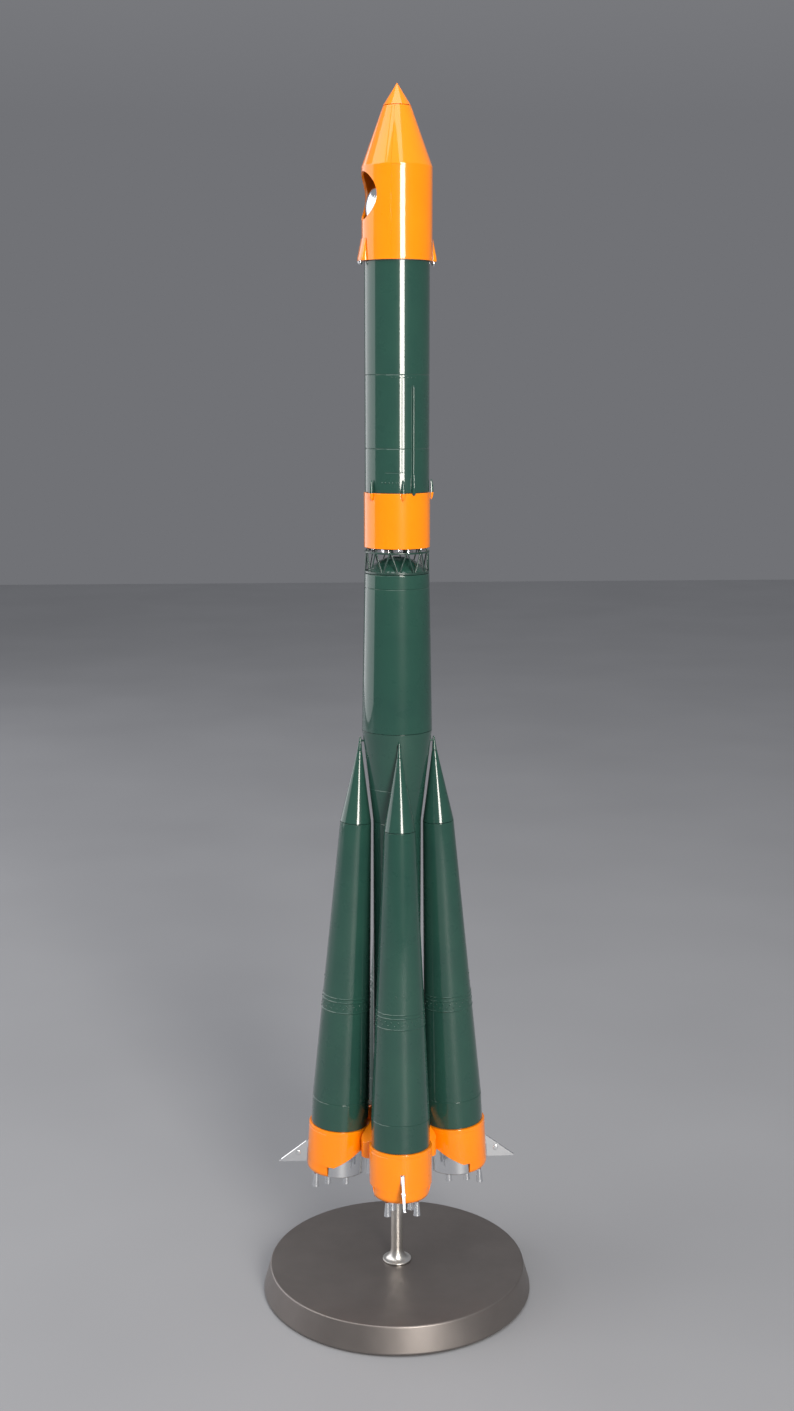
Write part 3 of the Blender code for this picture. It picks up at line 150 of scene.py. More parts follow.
def ramp_between(node: bpy.types.Node, low: float, high: float, colours: Sequence[str]) -> None:
    """Sets a colour ramp's two stops.

    Args:
        node: The ramp node.
        low: Place of the first stop.
        high: Place of the second stop.
        colours: Two sRGB hex colours.
    """
    stops = node.color_ramp.elements
    stops[0].position, stops[1].position = low, high
    stops[0].color, stops[1].color = linear(colours[0]), linear(colours[1])


class Look:
    """A material in the making: its tree, its Principled shader and object coordinates."""

    def __init__(self, name: str, metallic: float) -> None:
        """Starts the material.

        Args:
            name: Name of the material.
            metallic: How far it is bare metal, from 0 to 1.
        """
        self.material = bpy.data.materials.new(name)
        self.material.use_nodes = True
        self.tree = self.material.node_tree
        self.shader = self.tree.nodes["Principled BSDF"]
        self.coordinates = add_node(self.tree, "ShaderNodeTexCoord").outputs["Object"]
        self.set({"Metallic": metallic})

    def set(self, values: dict[str, Any]) -> None:
        """Sets constants on the shader's inputs."""
        for name, value in values.items():
            self.shader.inputs[name].default_value = value

    def noise(self, size: float, **settings: float) -> bpy.types.NodeSocket:
        """Adds a noise over the object.

        Args:
            size: Size of its features in metres.
            settings: Values by input name, such as Detail.

        Returns:
            The noise, from 0 to 1.
        """
        return add_node(self.tree, "ShaderNodeTexNoise", {"Scale": 1.0 / size, **settings},
                        {"Vector": self.coordinates}).outputs["Fac"]

    def tone(self, colours: Sequence[str], pattern: bpy.types.NodeSocket) -> None:
        """Drifts the base colour between two close tones.

        Args:
            colours: Two sRGB hex colours.
            pattern: Noise that the drift follows.
        """
        ramp = add_node(self.tree, "ShaderNodeValToRGB", None, {"Fac": pattern})
        ramp_between(ramp, NOISE_LOW, NOISE_HIGH, colours)
        self.tree.links.new(ramp.outputs["Color"], self.shader.inputs["Base Color"])

    def handled(self, roughness: float, size: float, spread: float) -> None:
        """Varies the roughness in soft patches, as handling and dusting leave it.

        Args:
            roughness: Its typical value.
            size: Size of the patches in metres.
            spread: How far it goes to either side of the typical value.
        """
        patches = add_node(self.tree, "ShaderNodeMapRange",
                           {"From Min": NOISE_LOW, "From Max": NOISE_HIGH,
                            "To Min": roughness - spread, "To Max": roughness + spread},
                           {"Value": self.noise(size, Detail=4.0, Roughness=0.6)})
        self.tree.links.new(patches.outputs["Result"], self.shader.inputs["Roughness"])

    def relief(self, height: bpy.types.NodeSocket, depth: float, strength: float = 1.0) -> None:
        """Feeds a height pattern to the shader as bump.

        Args:
            height: Height from 0 to 1.
            depth: Depth of the pattern in metres.
            strength: Blender's bump strength.
        """
        bump = add_node(self.tree, "ShaderNodeBump", {"Strength": strength, "Distance": depth},
                        {"Height": height})
        self.tree.links.new(bump.outputs["Normal"], self.shader.inputs["Normal"])


@dataclass(frozen=True)
class Finish:
    """What every finish shares: two close tones that drift, and roughness in patches."""

    name: str
    colour: str
    second_colour: str
    roughness: float = 0.3
    metallic: float = 0.0
    drift: float = 10.0 * MM
    patch: float = 6.0 * MM
    spread: float = 0.04

    def start(self) -> Look:
        """Makes the material with its tones and its handled roughness."""
        look = Look(self.name, self.metallic)
        look.tone((self.colour, self.second_colour),
                  look.noise(self.drift, Detail=3.0, Roughness=0.55))
        look.handled(self.roughness, self.patch, self.spread)
        return look


@dataclass(frozen=True)
class SprayedEnamel(Finish):
    """Gloss enamel sprayed on moulded plastic, under clear lacquer.

    The lacquer gives sharp reflections over the colour, and the paint under it hardly reflects, as
    its index is close to the lacquer's. Sprayed paint keeps a faint orange peel, which makes long
    straight highlights waver a little.
    """

    drift: float = 28.0 * MM
    patch: float = 9.0 * MM
    spread: float = 0.05
    peel: float = 6.0 * MM
    peel_depth: float = 0.002 * MM
    under_lacquer: float = 0.1
    lacquer_roughness: float = 0.03
    lacquer_index: float = 1.52

    def material(self) -> bpy.types.Material:
        """Builds the enamel."""
        look = self.start()
        look.set({"Specular IOR Level": self.under_lacquer, "Coat Weight": 1.0,
                  "Coat Roughness": self.lacquer_roughness, "Coat IOR": self.lacquer_index})
        look.relief(look.noise(self.peel, Detail=0.0), self.peel_depth)
        return look.material


@dataclass(frozen=True)
class MirrorPlating(Finish):
    """Chrome plated on plastic: a mirror, with slight waviness from the moulding under it."""

    drift: float = 12.0 * MM
    patch: float = 5.0 * MM
    spread: float = 0.03
    wave: float = 5.0 * MM
    wave_depth: float = 0.012 * MM

    def material(self) -> bpy.types.Material:
        """Builds the plating."""
        look = self.start()
        look.relief(look.noise(self.wave, Detail=2.0), self.wave_depth)
        return look.material


@dataclass(frozen=True)
class BlastedPlate(Finish):
    """Gunmetal plating over bead-blasted zinc: a soft satin that spreads the light evenly.

    Blasting grit of 0.1 mm doesn't show at this distance, so it is drawn at 0.35 mm.
    """

    drift: float = 30.0 * MM
    patch: float = 14.0 * MM
    spread: float = 0.03
    grit: float = 0.35 * MM
    grit_depth: float = 0.02 * MM

    def material(self) -> bpy.types.Material:
        """Builds the satin metal."""
        look = self.start()
        look.relief(look.noise(self.grit, Detail=2.0), self.grit_depth, 0.35)
        return look.material


@dataclass(frozen=True)
class TurnedSteel(Finish):
    """Stainless bar turned on a lathe and polished: bright, with faint rings round it.

    Polished rings are finer than 0.1 mm, and are drawn 0.4 mm apart so that they show.
    """

    pitch: float = 0.4 * MM
    ring_depth: float = 0.004 * MM

    def material(self) -> bpy.types.Material:
        """Builds the turned metal; the wave texture has 20 radians to a unit at scale 1."""
        look = self.start()
        rings = add_node(look.tree, "ShaderNodeTexWave",
                         {"bands_direction": "Z", "wave_profile": "SIN",
                          "Scale": 1.0 / self.pitch / 20 * math.tau,
                          "Distortion": 1.2, "Detail": 2.0, "Detail Scale": 2.0},
                         {"Vector": look.coordinates})
        look.relief(rings.outputs["Fac"], self.ring_depth, 0.5)
        return look.material


@dataclass(frozen=True)
class PressedFelt(Finish):
    """Pressed wool felt, 1 mm thick: matt, mottled, with fibres that stand up."""

    drift: float = 1.5 * MM
    patch: float = 2.0 * MM
    fibre: float = 0.5 * MM
    fibre_depth: float = 0.25 * MM
    sheen: float = 0.3

    def material(self) -> bpy.types.Material:
        """Builds the felt."""
        look = self.start()
        look.set({"Sheen Weight": self.sheen})
        look.relief(look.noise(self.fibre, Detail=6.0, Roughness=0.75, Distortion=1.5),
                    self.fibre_depth)
        return look.material


@dataclass(frozen=True)
class MouldedNylon(Finish):
    """Natural nylon from a mould: slightly waxy, with a fine spark-eroded texture."""

    drift: float = 6.0 * MM
    patch: float = 3.0 * MM
    spread: float = 0.05
    texture: float = 0.3 * MM
    texture_depth: float = 0.02 * MM
    index: float = 1.53
    haze: float = 0.15

    def material(self) -> bpy.types.Material:
        """Builds the nylon, which light enters by about a millimetre."""
        look = self.start()
        look.set({"IOR": self.index, "Subsurface Weight": self.haze,
                  "Subsurface Radius": (1 * MM, 1 * MM, 0.8 * MM)})
        look.relief(look.noise(self.texture, Detail=3.0), self.texture_depth, 0.5)
        return look.material


@dataclass(frozen=True)
class BrushedPaint(Finish):
    """Semi-gloss paint on cast metal: softer than the enamel, with a little pull from the brush."""

    drift: float = 4.0 * MM
    patch: float = 3.0 * MM
    spread: float = 0.06
    stroke: float = 1.5 * MM
    stroke_depth: float = 0.015 * MM
    gloss: float = 0.5
    gloss_roughness: float = 0.12

    def material(self) -> bpy.types.Material:
        """Builds the paint."""
        look = self.start()
        look.set({"Coat Weight": self.gloss, "Coat Roughness": self.gloss_roughness})
        look.relief(look.noise(self.stroke, Detail=3.0, Distortion=0.6), self.stroke_depth, 0.6)
        return look.material


class Slot(Enum):
    """The record's material slots, each with the finish that shows on it."""

    GUNMETAL = "gunmetal", BlastedPlate("Blasted gunmetal plate", "#7d7774", "#857f7c", 0.42, 0.85)
    FELT = "felt", PressedFelt("Pressed wool felt", "#1b1c1b", "#262726", 0.94)
    POST_STEEL = ("post_steel",
                  TurnedSteel("Turned stainless steel", "#e4e2de", "#d9d7d2", 0.34, 1.0))
    FASTENER = "fastener", TurnedSteel("Zinc-plated screw steel", "#b9bbbd", "#a7a9ac", 0.3, 1.0)
    NYLON = "nylon", MouldedNylon("Natural nylon", "#e2ded2", "#d8d3c5", 0.45)
    GREEN = "green", SprayedEnamel("Dark green gloss enamel", "#22443c", "#25493f", 0.3)
    TRUSS_GREEN = ("truss_green",
                   BrushedPaint("Dark green semi-gloss paint", "#233f38", "#1e3831", 0.3))
    ORANGE = "orange", SprayedEnamel("Orange gloss enamel", "#ff8700", "#ff8c02", 0.32)
    CHROME = "chrome", MirrorPlating("Chrome plating", "#e4e5e7", "#dadcdf", 0.14, 1.0)
    SILVER = "silver", BrushedPaint("Silver-grey paint", "#8b9092", "#999d9f", 0.35, 0.3)

    def __init__(self, slot: str, finish: Finish) -> None:
        """Keeps the record's slot name and the finish."""
        self.slot = slot
        self.finish = finish

    def material(self) -> bpy.types.Material:
        """The slot's material, made the first time that it is asked for."""
        return bpy.data.materials.get(self.finish.name) or self.finish.material()


# ---------------------------------------------------------------- mesh making


def new_piece(name: str, bm: bmesh.types.BMesh, sharp: float = SHARP) -> bpy.types.Object:
    """Gives a bmesh an object, with smooth faces and sharp corners.

    Args:
        name: Name of the object.
        bm: The mesh, which this frees.
        sharp: Angle in degrees above which an edge stays sharp.

    Returns:
        The new object, at the origin.
    """
    bmesh.ops.remove_doubles(bm, verts=bm.verts, dist=0.0005 * MM)
    bmesh.ops.recalc_face_normals(bm, faces=bm.faces)
    mesh = bpy.data.meshes.new(name)
    bm.to_mesh(mesh)
    bm.free()
    mesh.shade_smooth()
    mesh.set_sharp_from_angle(angle=math.radians(sharp))
    obj = bpy.data.objects.new(name, mesh)
    bpy.context.scene.collection.objects.link(obj)
    return obj


def polar(radius: float, degrees: float, height: float = 0.0) -> Vector:
    """Point at a radius, azimuth and height."""
    angle = math.radians(degrees)
    return Vector((radius * math.cos(angle), radius * math.sin(angle), height))


def about_z(degrees: float) -> Matrix:
    """Turn about the rocket's axis."""
    return Matrix.Rotation(math.radians(degrees), 4, "Z")


def soft(corners: Sequence[tuple[float, ...]], steps: int = 4) -> Outline:
    """Rounds the corners of an outline.

    Args:
        corners: (radius, height) or (radius, height, rounding) points, in order.
        steps: Segments in each rounded corner.

    Returns:
        The outline as plain points. The first and last corner aren't rounded.
    """
    made: Outline = []
    for index, corner in enumerate(corners):
        here = Vector(corner[:2])
        rounding = corner[2] if len(corner) > 2 else 0.0
        if rounding <= 0.0 or index in (0, len(corners) - 1):
            made.append((here.x, here.y))
            continue
        before = Vector(corners[index - 1][:2])
        after = Vector(corners[index + 1][:2])
        cut = min(rounding, 0.48 * (before - here).length, 0.48 * (after - here).length)
        start = here + (before - here).normalized() * cut
        end = here + (after - here).normalized() * cut
        for step in range(steps + 1):
            t = step / steps
            point = start.lerp(here, t).lerp(here.lerp(end, t), t)
            made.append((point.x, point.y))
    return made


def groove(radius: float, height: float, depth: float = 0.25 * MM,
           half_width: float = 0.3 * MM) -> list[tuple[float, float]]:
    """Points of an engraved ring, lower edge first; a negative depth gives a bead."""
    return [(radius, height - half_width), (radius - 0.6 * depth, height - 0.5 * half_width),
            (radius - depth, height), (radius - 0.6 * depth, height + 0.5 * half_width),
            (radius, height + half_width)]


def lathe(name: str, outline: Outline, segments: int = 144, stops: Sequence[float] = (),
          relief: Callable[[float, float, float], float] | None = None) -> bpy.types.Object:
    """Solid of revolution about Z, whose wall can carry fine relief.

    Args:
        name: Name of the object.
        outline: (radius, height) points. It closes on itself unless both ends are on the axis.
        segments: Number of columns round the axis.
        stops: Azimuths in degrees that also get a column, for relief with a crisp edge.
        relief: Gives a change of radius from the radius, azimuth in degrees and height.

    Returns:
        The object.
    """
    even = [360.0 * i / segments for i in range(segments)]
    near = 0.2
    columns = [a for a in even
               if all(abs((a - s + 180.0) % 360.0 - 180.0) > near for s in stops)]
    columns = sorted(columns + [s % 360.0 for s in stops])
    bm = bmesh.new()
    rows: list[list[bmesh.types.BMVert]] = []
    for radius, height in outline:
        if radius <= 1e-7:
            rows.append([bm.verts.new((0.0, 0.0, height))] * len(columns))
            continue
        rows.append([bm.verts.new(polar(
            radius + (relief(radius, azimuth, height) if relief else 0.0), azimuth, height))
            for azimuth in columns])
    pairs = list(zip(rows, rows[1:]))
    if outline[0][0] > 1e-7:
        pairs.append((rows[-1], rows[0]))
    for lower, upper in pairs:
        for i in range(len(columns)):
            j = (i + 1) % len(columns)
            corners = list(dict.fromkeys((lower[i], lower[j], upper[j], upper[i])))
            if len(corners) > 2:
                bm.faces.new(corners)
    return new_piece(name, bm)


def loft(name: str, rings: Sequence[Ring], sharp: float = SHARP) -> bpy.types.Object:
    """Skin over rings of equal length, with both ends closed.

    Args:
        name: Name of the object.
        rings: Closed rings of points, in order along the piece.
        sharp: Angle in degrees above which an edge stays sharp.

    Returns:
        The object.
    """
    bm = bmesh.new()
    made = [[bm.verts.new(point) for point in ring] for ring in rings]
    count = len(made[0])
    for lower, upper in zip(made, made[1:]):
        for i in range(count):
            j = (i + 1) % count
            bm.faces.new((lower[i], lower[j], upper[j], upper[i]))
    bm.faces.new(made[0])
    bm.faces.new(made[-1])
    return new_piece(name, bm, sharp)


def bar(name: str, start: Vector, end: Vector, radius: float, end_radius: float | None = None,
        segments: int = 16, lip: float = 0.0) -> bpy.types.Object:
    """Round bar between two points, with an optional rounding at both ends.

    Args:
        name: Name of the object.
        start: Middle of one end.
        end: Middle of the other end.
        radius: Radius at the start.
        end_radius: Radius at the end, if it differs.
        segments: Number of sides.
        lip: Size of the rounding of each end's rim.

    Returns:
        The object.
    """
    last = radius if end_radius is None else end_radius
    length = (end - start).length
    outline = soft([(0.0, 0.0), (radius, 0.0, lip), (last, length, lip), (0.0, length)])
    obj = lathe(name, outline, segments)
    turn = Vector((0, 0, 1)).rotation_difference(end - start).to_matrix().to_4x4()
    obj.data.transform(Matrix.Translation(start) @ turn)
    return obj


def ball(name: str, centre: Vector, radius: float, segments: int = 24) -> bpy.types.Object:
    """Sphere with fine facets."""
    steps = segments // 2
    outline = [(radius * math.sin(math.pi * i / steps), -radius * math.cos(math.pi * i / steps))
               for i in range(steps + 1)]
    outline[0], outline[-1] = (0.0, -radius), (0.0, radius)
    obj = lathe(name, outline, segments)
    obj.data.transform(Matrix.Translation(centre))
    return obj


def plate(name: str, outline: Outline, thickness: float, bevel: float) -> bpy.types.Object:
    """Flat plate from an (x, z) outline, centred on Y = 0, with its edges eased.

    Args:
        name: Name of the object.
        outline: Closed outline.
        thickness: Thickness across Y.
        bevel: Width of the eased edges.

    Returns:
        The object.
    """
    bm = bmesh.new()
    face = bm.faces.new([bm.verts.new((x, -thickness / 2, z)) for x, z in outline])
    made = bmesh.ops.extrude_face_region(bm, geom=[face])
    verts = [item for item in made["geom"] if isinstance(item, bmesh.types.BMVert)]
    bmesh.ops.translate(bm, verts=verts, vec=(0, thickness, 0))
    bmesh.ops.recalc_face_normals(bm, faces=bm.faces)
    if bevel > 0.0:
        bmesh.ops.bevel(bm, geom=list(bm.edges), offset=bevel, segments=2, profile=0.6,
                        affect="EDGES", clamp_overlap=True)
    return new_piece(name, bm)


def studs(name: str, sites: Sequence[tuple[Vector, Vector]], radius: float,
          height: float) -> bpy.types.Object:
    """Low round rivet heads in one mesh.

    Args:
        name: Name of the object.
        sites: A point on the surface and the outward direction, for each rivet.
        radius: Radius of a head.
        height: How far it stands out.

    Returns:
        The object.
    """
    bm = bmesh.new()
    for point, outward in sites:
        turn = Vector((0, 0, 1)).rotation_difference(outward).to_matrix().to_4x4()
        size = Matrix.Diagonal((radius, radius, height, 1.0))
        bmesh.ops.create_uvsphere(bm, u_segments=14, v_segments=8, radius=1.0,
                                  matrix=Matrix.Translation(point) @ turn @ size)
    return new_piece(name, bm)


def merged(name: str, objects: Sequence[bpy.types.Object]) -> bpy.types.Object:
    """One object of several, which are removed.

    Args:
        name: Name of the new object.
        objects: Objects with their meshes in the row frame.

    Returns:
        The new object.
    """
    bm = bmesh.new()
    for obj in objects:
        bm.from_mesh(obj.data)
        bpy.data.objects.remove(obj)
    return new_piece(name, bm)


def cut(base: bpy.types.Object, *cutters: bpy.types.Object,
        operation: str = "DIFFERENCE") -> bpy.types.Object:
    """Applies Booleans to an object's mesh and removes the cutters.

    Args:
        base: The object that is cut.
        cutters: The objects that cut it, one after another.
        operation: Blender's name of the Boolean.

    Returns:
        The same object.
    """
    for cutter in cutters:
        modifier = base.modifiers.new("Boolean", "BOOLEAN")
        modifier.operation = operation
        modifier.solver = "EXACT"
        modifier.object = cutter
        graph = bpy.context.evaluated_depsgraph_get()
        result = bpy.data.meshes.new_from_object(base.evaluated_get(graph))
        base.modifiers.clear()
        base.data = result
        bpy.data.objects.remove(cutter)
    base.data.shade_smooth()
    base.data.set_sharp_from_angle(angle=math.radians(SHARP))
    return base


def nozzle(name: str, throat: float, mouth: float, length: float, rim: float = 0.35 * MM,
           segments: int = 40) -> bpy.types.Object:
    """Bell-shaped nozzle, hollow, with its throat at the origin and its mouth pointing down.

    Args:
        name: Name of the object.
        throat: Radius where it leaves its plate.
        mouth: Outer radius of the mouth.
        length: Length of the bell.
        rim: Thickness of the mouth's rim.
        segments: Number of sides.

    Returns:
        The object.
    """
    steps = 7
    outer: Outline = []
    inner: Outline = []
    for step in range(steps + 1):
        share = step / steps
        swell = math.sin(share * math.pi / 2) ** 0.9
        outer.append((throat + (mouth - rim / 2 - throat) * swell, -length * share))
        inner.append(((throat - rim) * 0.7 + (mouth - rim - (throat - rim) * 0.7) * swell,
                      -length * share))
    bead = [(mouth, -length + rim), (mouth, -length + 0.2 * rim), (mouth - 0.4 * rim, -length)]
    outline = [(0.0, rim), (throat, rim), *outer[:-1], *bead, *inner[:0:-1], (0.0, -0.18 * length)]
    return lathe(name, outline, segments)


def show(piece: bpy.types.Object, slot: Slot, body: str, *nodes: str) -> bpy.types.Object:
    """Dresses a piece and hands it to the frame.

    Args:
        piece: The finished piece, in place.
        slot: Its finish and material slot.
        body: Name of the body that it rides on.
        nodes: CAD solids that it stands for.

    Returns:
        The same piece.
    """
    piece.data.materials.clear()
    piece.data.materials.append(slot.material())
    flat = piece.modifiers.new("Even shading", "WEIGHTED_NORMAL")
    flat.keep_sharp = True
    flat.weight = 50
    if nodes:
        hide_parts(*nodes)
    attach(piece, body)
    LOG.info("%s: %d faces, %s, on %s", piece.name, len(piece.data.polygons), slot.slot, body)
    return piece


# ---------------------------------------------------------------- stand


@dataclass
class Stand:
    """Round satin base, its felt pad and fixings, and the polished post with its cap."""

    edge: float = 1.0 * MM
    side_draft: float = 4.3 * MM
    counterbore: float = 6.0 * MM
    screw: float = 1.8 * MM
    screw_depth: float = 15.0 * MM
    head_height: float = 2.5 * MM
    key_radius: float = 1.6 * MM
    key_depth: float = 1.5 * MM
    knurl_depth: float = 0.1 * MM
    post_radius: float = 3.7 * MM
    flare_height: float = 7.5 * MM
    foot_lip: float = 1.0 * MM

    def __post_init__(self) -> None:
        """Measures the solids."""
        self.disc = Solid("base_disc")
        self.pad = Solid("base_pad")
        self.post = Solid("post")
        self.cap = Solid("post_cap")

    def build(self) -> None:
        """Makes every piece of the stand."""
        self.build_disc()
        self.build_pad()
        self.build_post()
        self.build_fixings()
        self.build_cap()

    def build_disc(self) -> None:
        """Base with eased edges and a recess below for the pad."""
        hole = self.screw + GAP
        ceiling = self.pad.top + GAP
        seat = ceiling + self.counterbore
        recess = self.pad.reach + GAP
        bore = Solid("post_washer").reach + 2 * GAP
        wide, top = self.disc.reach, self.disc.top
        outline = soft([
            (hole, top), (wide - self.side_draft, top, self.edge),
            (wide, self.disc.bottom + 1.3 * self.edge, self.edge),
            (wide - self.edge, self.disc.bottom, 0.5 * self.edge),
            (recess, self.disc.bottom), (recess, ceiling), (bore, ceiling), (bore, seat),
            (hole, seat)], 6)
        show(lathe("stand_base", outline, 256), Slot.GUNMETAL, Body.STAND.value, "base_disc")

    def build_pad(self) -> None:
        """Felt pad with a slightly crushed edge."""
        edge = 0.35 * MM
        outline = soft([(0.0, self.pad.bottom), (self.pad.reach, self.pad.bottom, edge),
                        (self.pad.reach, self.pad.top, edge), (0.0, self.pad.top)])
        show(lathe("felt_pad", outline, 192), Slot.FELT, Body.STAND.value, "base_pad")

    def build_post(self) -> None:
        """Polished post with a trumpet foot."""
        bottom, top, foot = self.post.bottom, self.post.top, self.post.reach
        bore = self.screw + GAP
        start = bottom + self.foot_lip
        width = 0.82 * (foot - self.post_radius)
        steps = 16
        flare: list[tuple[float, ...]] = []
        for step in range(steps + 1):
            angle = math.pi / 2 * step / steps
            flare.append((self.post_radius + width * (1 - math.sin(angle)),
                          start + self.flare_height * (1 - math.cos(angle))))
        bore_top = bottom + self.screw_depth
        outline = soft([(0.0, bore_top), (bore, bore_top), (bore, bottom),
                        (foot, bottom, 0.2 * MM), (foot, start, 0.4 * MM), *flare,
                        (self.post_radius, top, 0.4 * MM), (0.0, top)])
        show(lathe("polished_post", outline, 96), Slot.POST_STEEL, Body.STAND.value, "post")

    def build_fixings(self) -> None:
        """Socket screw with a knurled head, and its washer."""
        screw, washer = Solid("post_screw"), Solid("post_washer")
        head_top = screw.bottom + self.head_height
        outline = soft([(0.0, screw.bottom), (screw.reach, screw.bottom, 0.3 * MM),
                        (screw.reach, head_top, 0.2 * MM), (self.screw, head_top),
                        (self.screw, screw.top, 0.4 * MM), (0.0, screw.top)])

        def knurl(radius: float, azimuth: float, height: float) -> float:
            """Cuts the grooves round the screw's head."""
            knurled = radius > self.screw + GAP and screw.bottom + GAP < height < head_top
            return -self.knurl_depth if knurled and round(azimuth / 5.0) % 2 else 0.0

        key = bar("key", Vector((0, 0, screw.bottom - GAP)),
                  Vector((0, 0, screw.bottom + self.key_depth)), self.key_radius, segments=6)
        made = cut(lathe("socket_screw", outline, 72, relief=knurl), key)
        show(made, Slot.FASTENER, Body.STAND.value, "post_screw")
        hole = self.screw + GAP
        ring = soft([(hole, washer.bottom), (washer.reach, washer.bottom, 0.15 * MM),
                     (washer.reach, washer.top, 0.15 * MM), (hole, washer.top)])
        show(lathe("plain_washer", ring, 96), Slot.FASTENER, Body.STAND.value, "post_washer")

    def build_cap(self) -> None:
        """Thin nylon cap that the rocket turns on."""
        inside = self.post_radius + GAP
        crown = self.post.top + GAP
        outline = soft([(0.0, self.cap.top), (self.cap.reach, self.cap.top, 0.5 * MM),
                        (self.cap.reach, self.cap.bottom, 0.2 * MM), (inside, self.cap.bottom),
                        (inside, crown), (0.0, crown)])
        show(lathe("bearing_cap", outline, 96), Slot.NYLON, Body.SWIVEL.value, "post_cap")


# ---------------------------------------------------------------- core


@dataclass
class Core:
    """Core stage: tail skirt, engine, tanks, tank head and the open truss."""

    narrow: float = 14.2 * MM
    knuckle: float = 20.6 * MM
    top_radius: float = 18.8 * MM
    tail_radius: float = 14.9 * MM
    taper: float = 54.4 * MM
    pod_reach: float = 30.0 * MM
    pod_end: float = 10.0 * MM
    pod_rise: float = 22.0 * MM
    pod_half_width: float = 4.65 * MM
    bell_circle: float = 9.2 * MM
    bell_radius: float = 2.8 * MM
    bell_length: float = 13.5 * MM
    plate_thickness: float = 2.0 * MM
    vernier_throat: float = 1.25 * MM
    vernier_mouth: float = 2.1 * MM
    hinge_radius: float = 19.18 * MM
    hinge_height: float = 346.0 * MM
    hook_hole: float = 1.15 * MM
    peg_height: float = 121.2 * MM
    peg_hole: float = 1.9 * MM
    waist_ring: float = 62.0 * MM
    taper_ring: float = 20.0 * MM
    upper_ring: float = 8.0 * MM
    rivet_drop: float = 18.5 * MM
    rivet_azimuths: tuple[float, ...] = (-83.0, 97.0)
    head_shoulder: float = 1.3 * MM
    truss_bays: int = 12
    truss_foot: float = 1.3 * MM
    truss_head: float = 1.0 * MM
    truss_drop: float = 2.0 * MM
    band_wall: float = 1.4 * MM
    strut: float = 0.42 * MM
    seam: float = 0.15 * MM

    def __post_init__(self) -> None:
        """Measures the solids."""
        self.skirt = Solid("core_tail_skirt")
        self.lower = Solid("core_lower_tank")
        self.upper = Solid("core_upper_tank")
        self.dome = Solid("core_dome")
        self.engine = Solid("core_engine")
        self.socket = Solid("post_socket")
        self.truss = Solid("interstage_truss")
        self.waist = self.lower.bottom
        self.knuckle_height = self.upper.bottom - self.seam
        self.taper_height = self.knuckle_height - self.taper

    def radius(self, height: float) -> float:
        """Outer radius of the tanks at a height."""
        if height <= self.knuckle_height:
            share = max(0.0, (height - self.taper_height) / self.taper)
            return self.narrow + share * (self.knuckle - self.narrow)
        share = (height - self.knuckle_height) / (self.upper.top - self.knuckle_height)
        return self.knuckle + share * (self.top_radius - self.knuckle)

    def build(self) -> None:
        """Makes every piece of the core."""
        self.build_tail()
        self.build_engine()
        self.build_socket()
        self.build_lower_tank()
        self.build_upper_tank()
        self.build_head()
        self.build_truss()

    def wedge(self, name: str, inset: float, root: float, bottom: float,
              drop: float) -> bpy.types.Object:
        """Wedge between two boosters, with a rounded outer end and a sloping top.

        Args:
            name: Name of the object.
            inset: How far its sides are inside the pod's.
            root: Radius where it starts.
            bottom: Height of its underside.
            drop: How far its top is under the pod's.

        Returns:
            The wedge, along +X.
        """
        half = self.pod_half_width - inset
        centre = self.pod_reach - inset - half
        plan = [(root, -half)]
        steps = 20
        for step in range(steps + 1):
            angle = math.pi * (step / steps - 0.5)
            plan.append((centre + half * math.cos(angle), half * math.sin(angle)))
        plan.append((root, half))
        slope = (self.pod_rise - self.pod_end) / (self.pod_reach - self.narrow)
        ease = 0.0 if inset else 0.5 * MM

        def top_at(x: float) -> float:
            """Height of the sloping top."""
            return self.skirt.bottom + self.pod_end - drop + slope * (self.pod_reach - x)

        rings = [[Vector((x, y, bottom)) for x, y in plan]]
        for share in (0.0, 0.35, 0.7, 1.0) if ease else (1.0,):
            shrink = ease * (1 - math.cos(share * math.pi / 2))
            lift = ease * (1 - math.sin(share * math.pi / 2))
            factor = (half - shrink) / half
            rings.append([Vector((max(root, centre + (x - centre) * factor) if x > centre else x,
                                  y * factor, top_at(x) - lift)) for x, y in plan])
        return loft(name, rings)

    def build_tail(self) -> None:
        """Orange tail skirt with four hollow vernier pods."""
        low, seat = self.skirt.bottom, self.waist - GAP
        bore = self.tail_radius - WALL
        plug = self.narrow - WALL - GAP
        outline = soft([(self.tail_radius, low, 0.2 * MM), (self.tail_radius, seat, 0.35 * MM),
                        (plug, seat), (plug, self.waist + SPIGOT),
                        (plug - WALL, self.waist + SPIGOT), (plug - WALL, seat - WALL),
                        (bore, seat - WALL), (bore, low)])
        skirt = lathe("tail_skirt_core", outline, 120)
        pods = []
        pockets = []
        for quarter in range(4):
            turn = about_z(45 + 90 * quarter)
            pod = self.wedge("pod", 0.0, self.tail_radius - WALL / 2, low, 0.0)
            clearance = bar("clearance", Vector((0, 0, seat)),
                            Vector((0, 0, self.waist + self.pod_rise)), self.narrow + GAP,
                            segments=120)
            cut(pod, clearance)
            pod.data.transform(turn)
            pods.append(pod)
            pocket = self.wedge("pocket", WALL, bore - WALL, low - GAP, 2 * WALL)
            ceiling = bar("ceiling", Vector((0, 0, seat - WALL)),
                          Vector((0, 0, seat + self.pod_rise)), 2 * self.pod_reach, segments=48)
            cut(pocket, ceiling)
            pocket.data.transform(turn)
            pockets.append(pocket)
        for pod in pods:
            cut(skirt, pod, operation="UNION")
        cut(skirt, *pockets)
        show(skirt, Slot.ORANGE, Body.CORE.value, "core_tail_skirt")

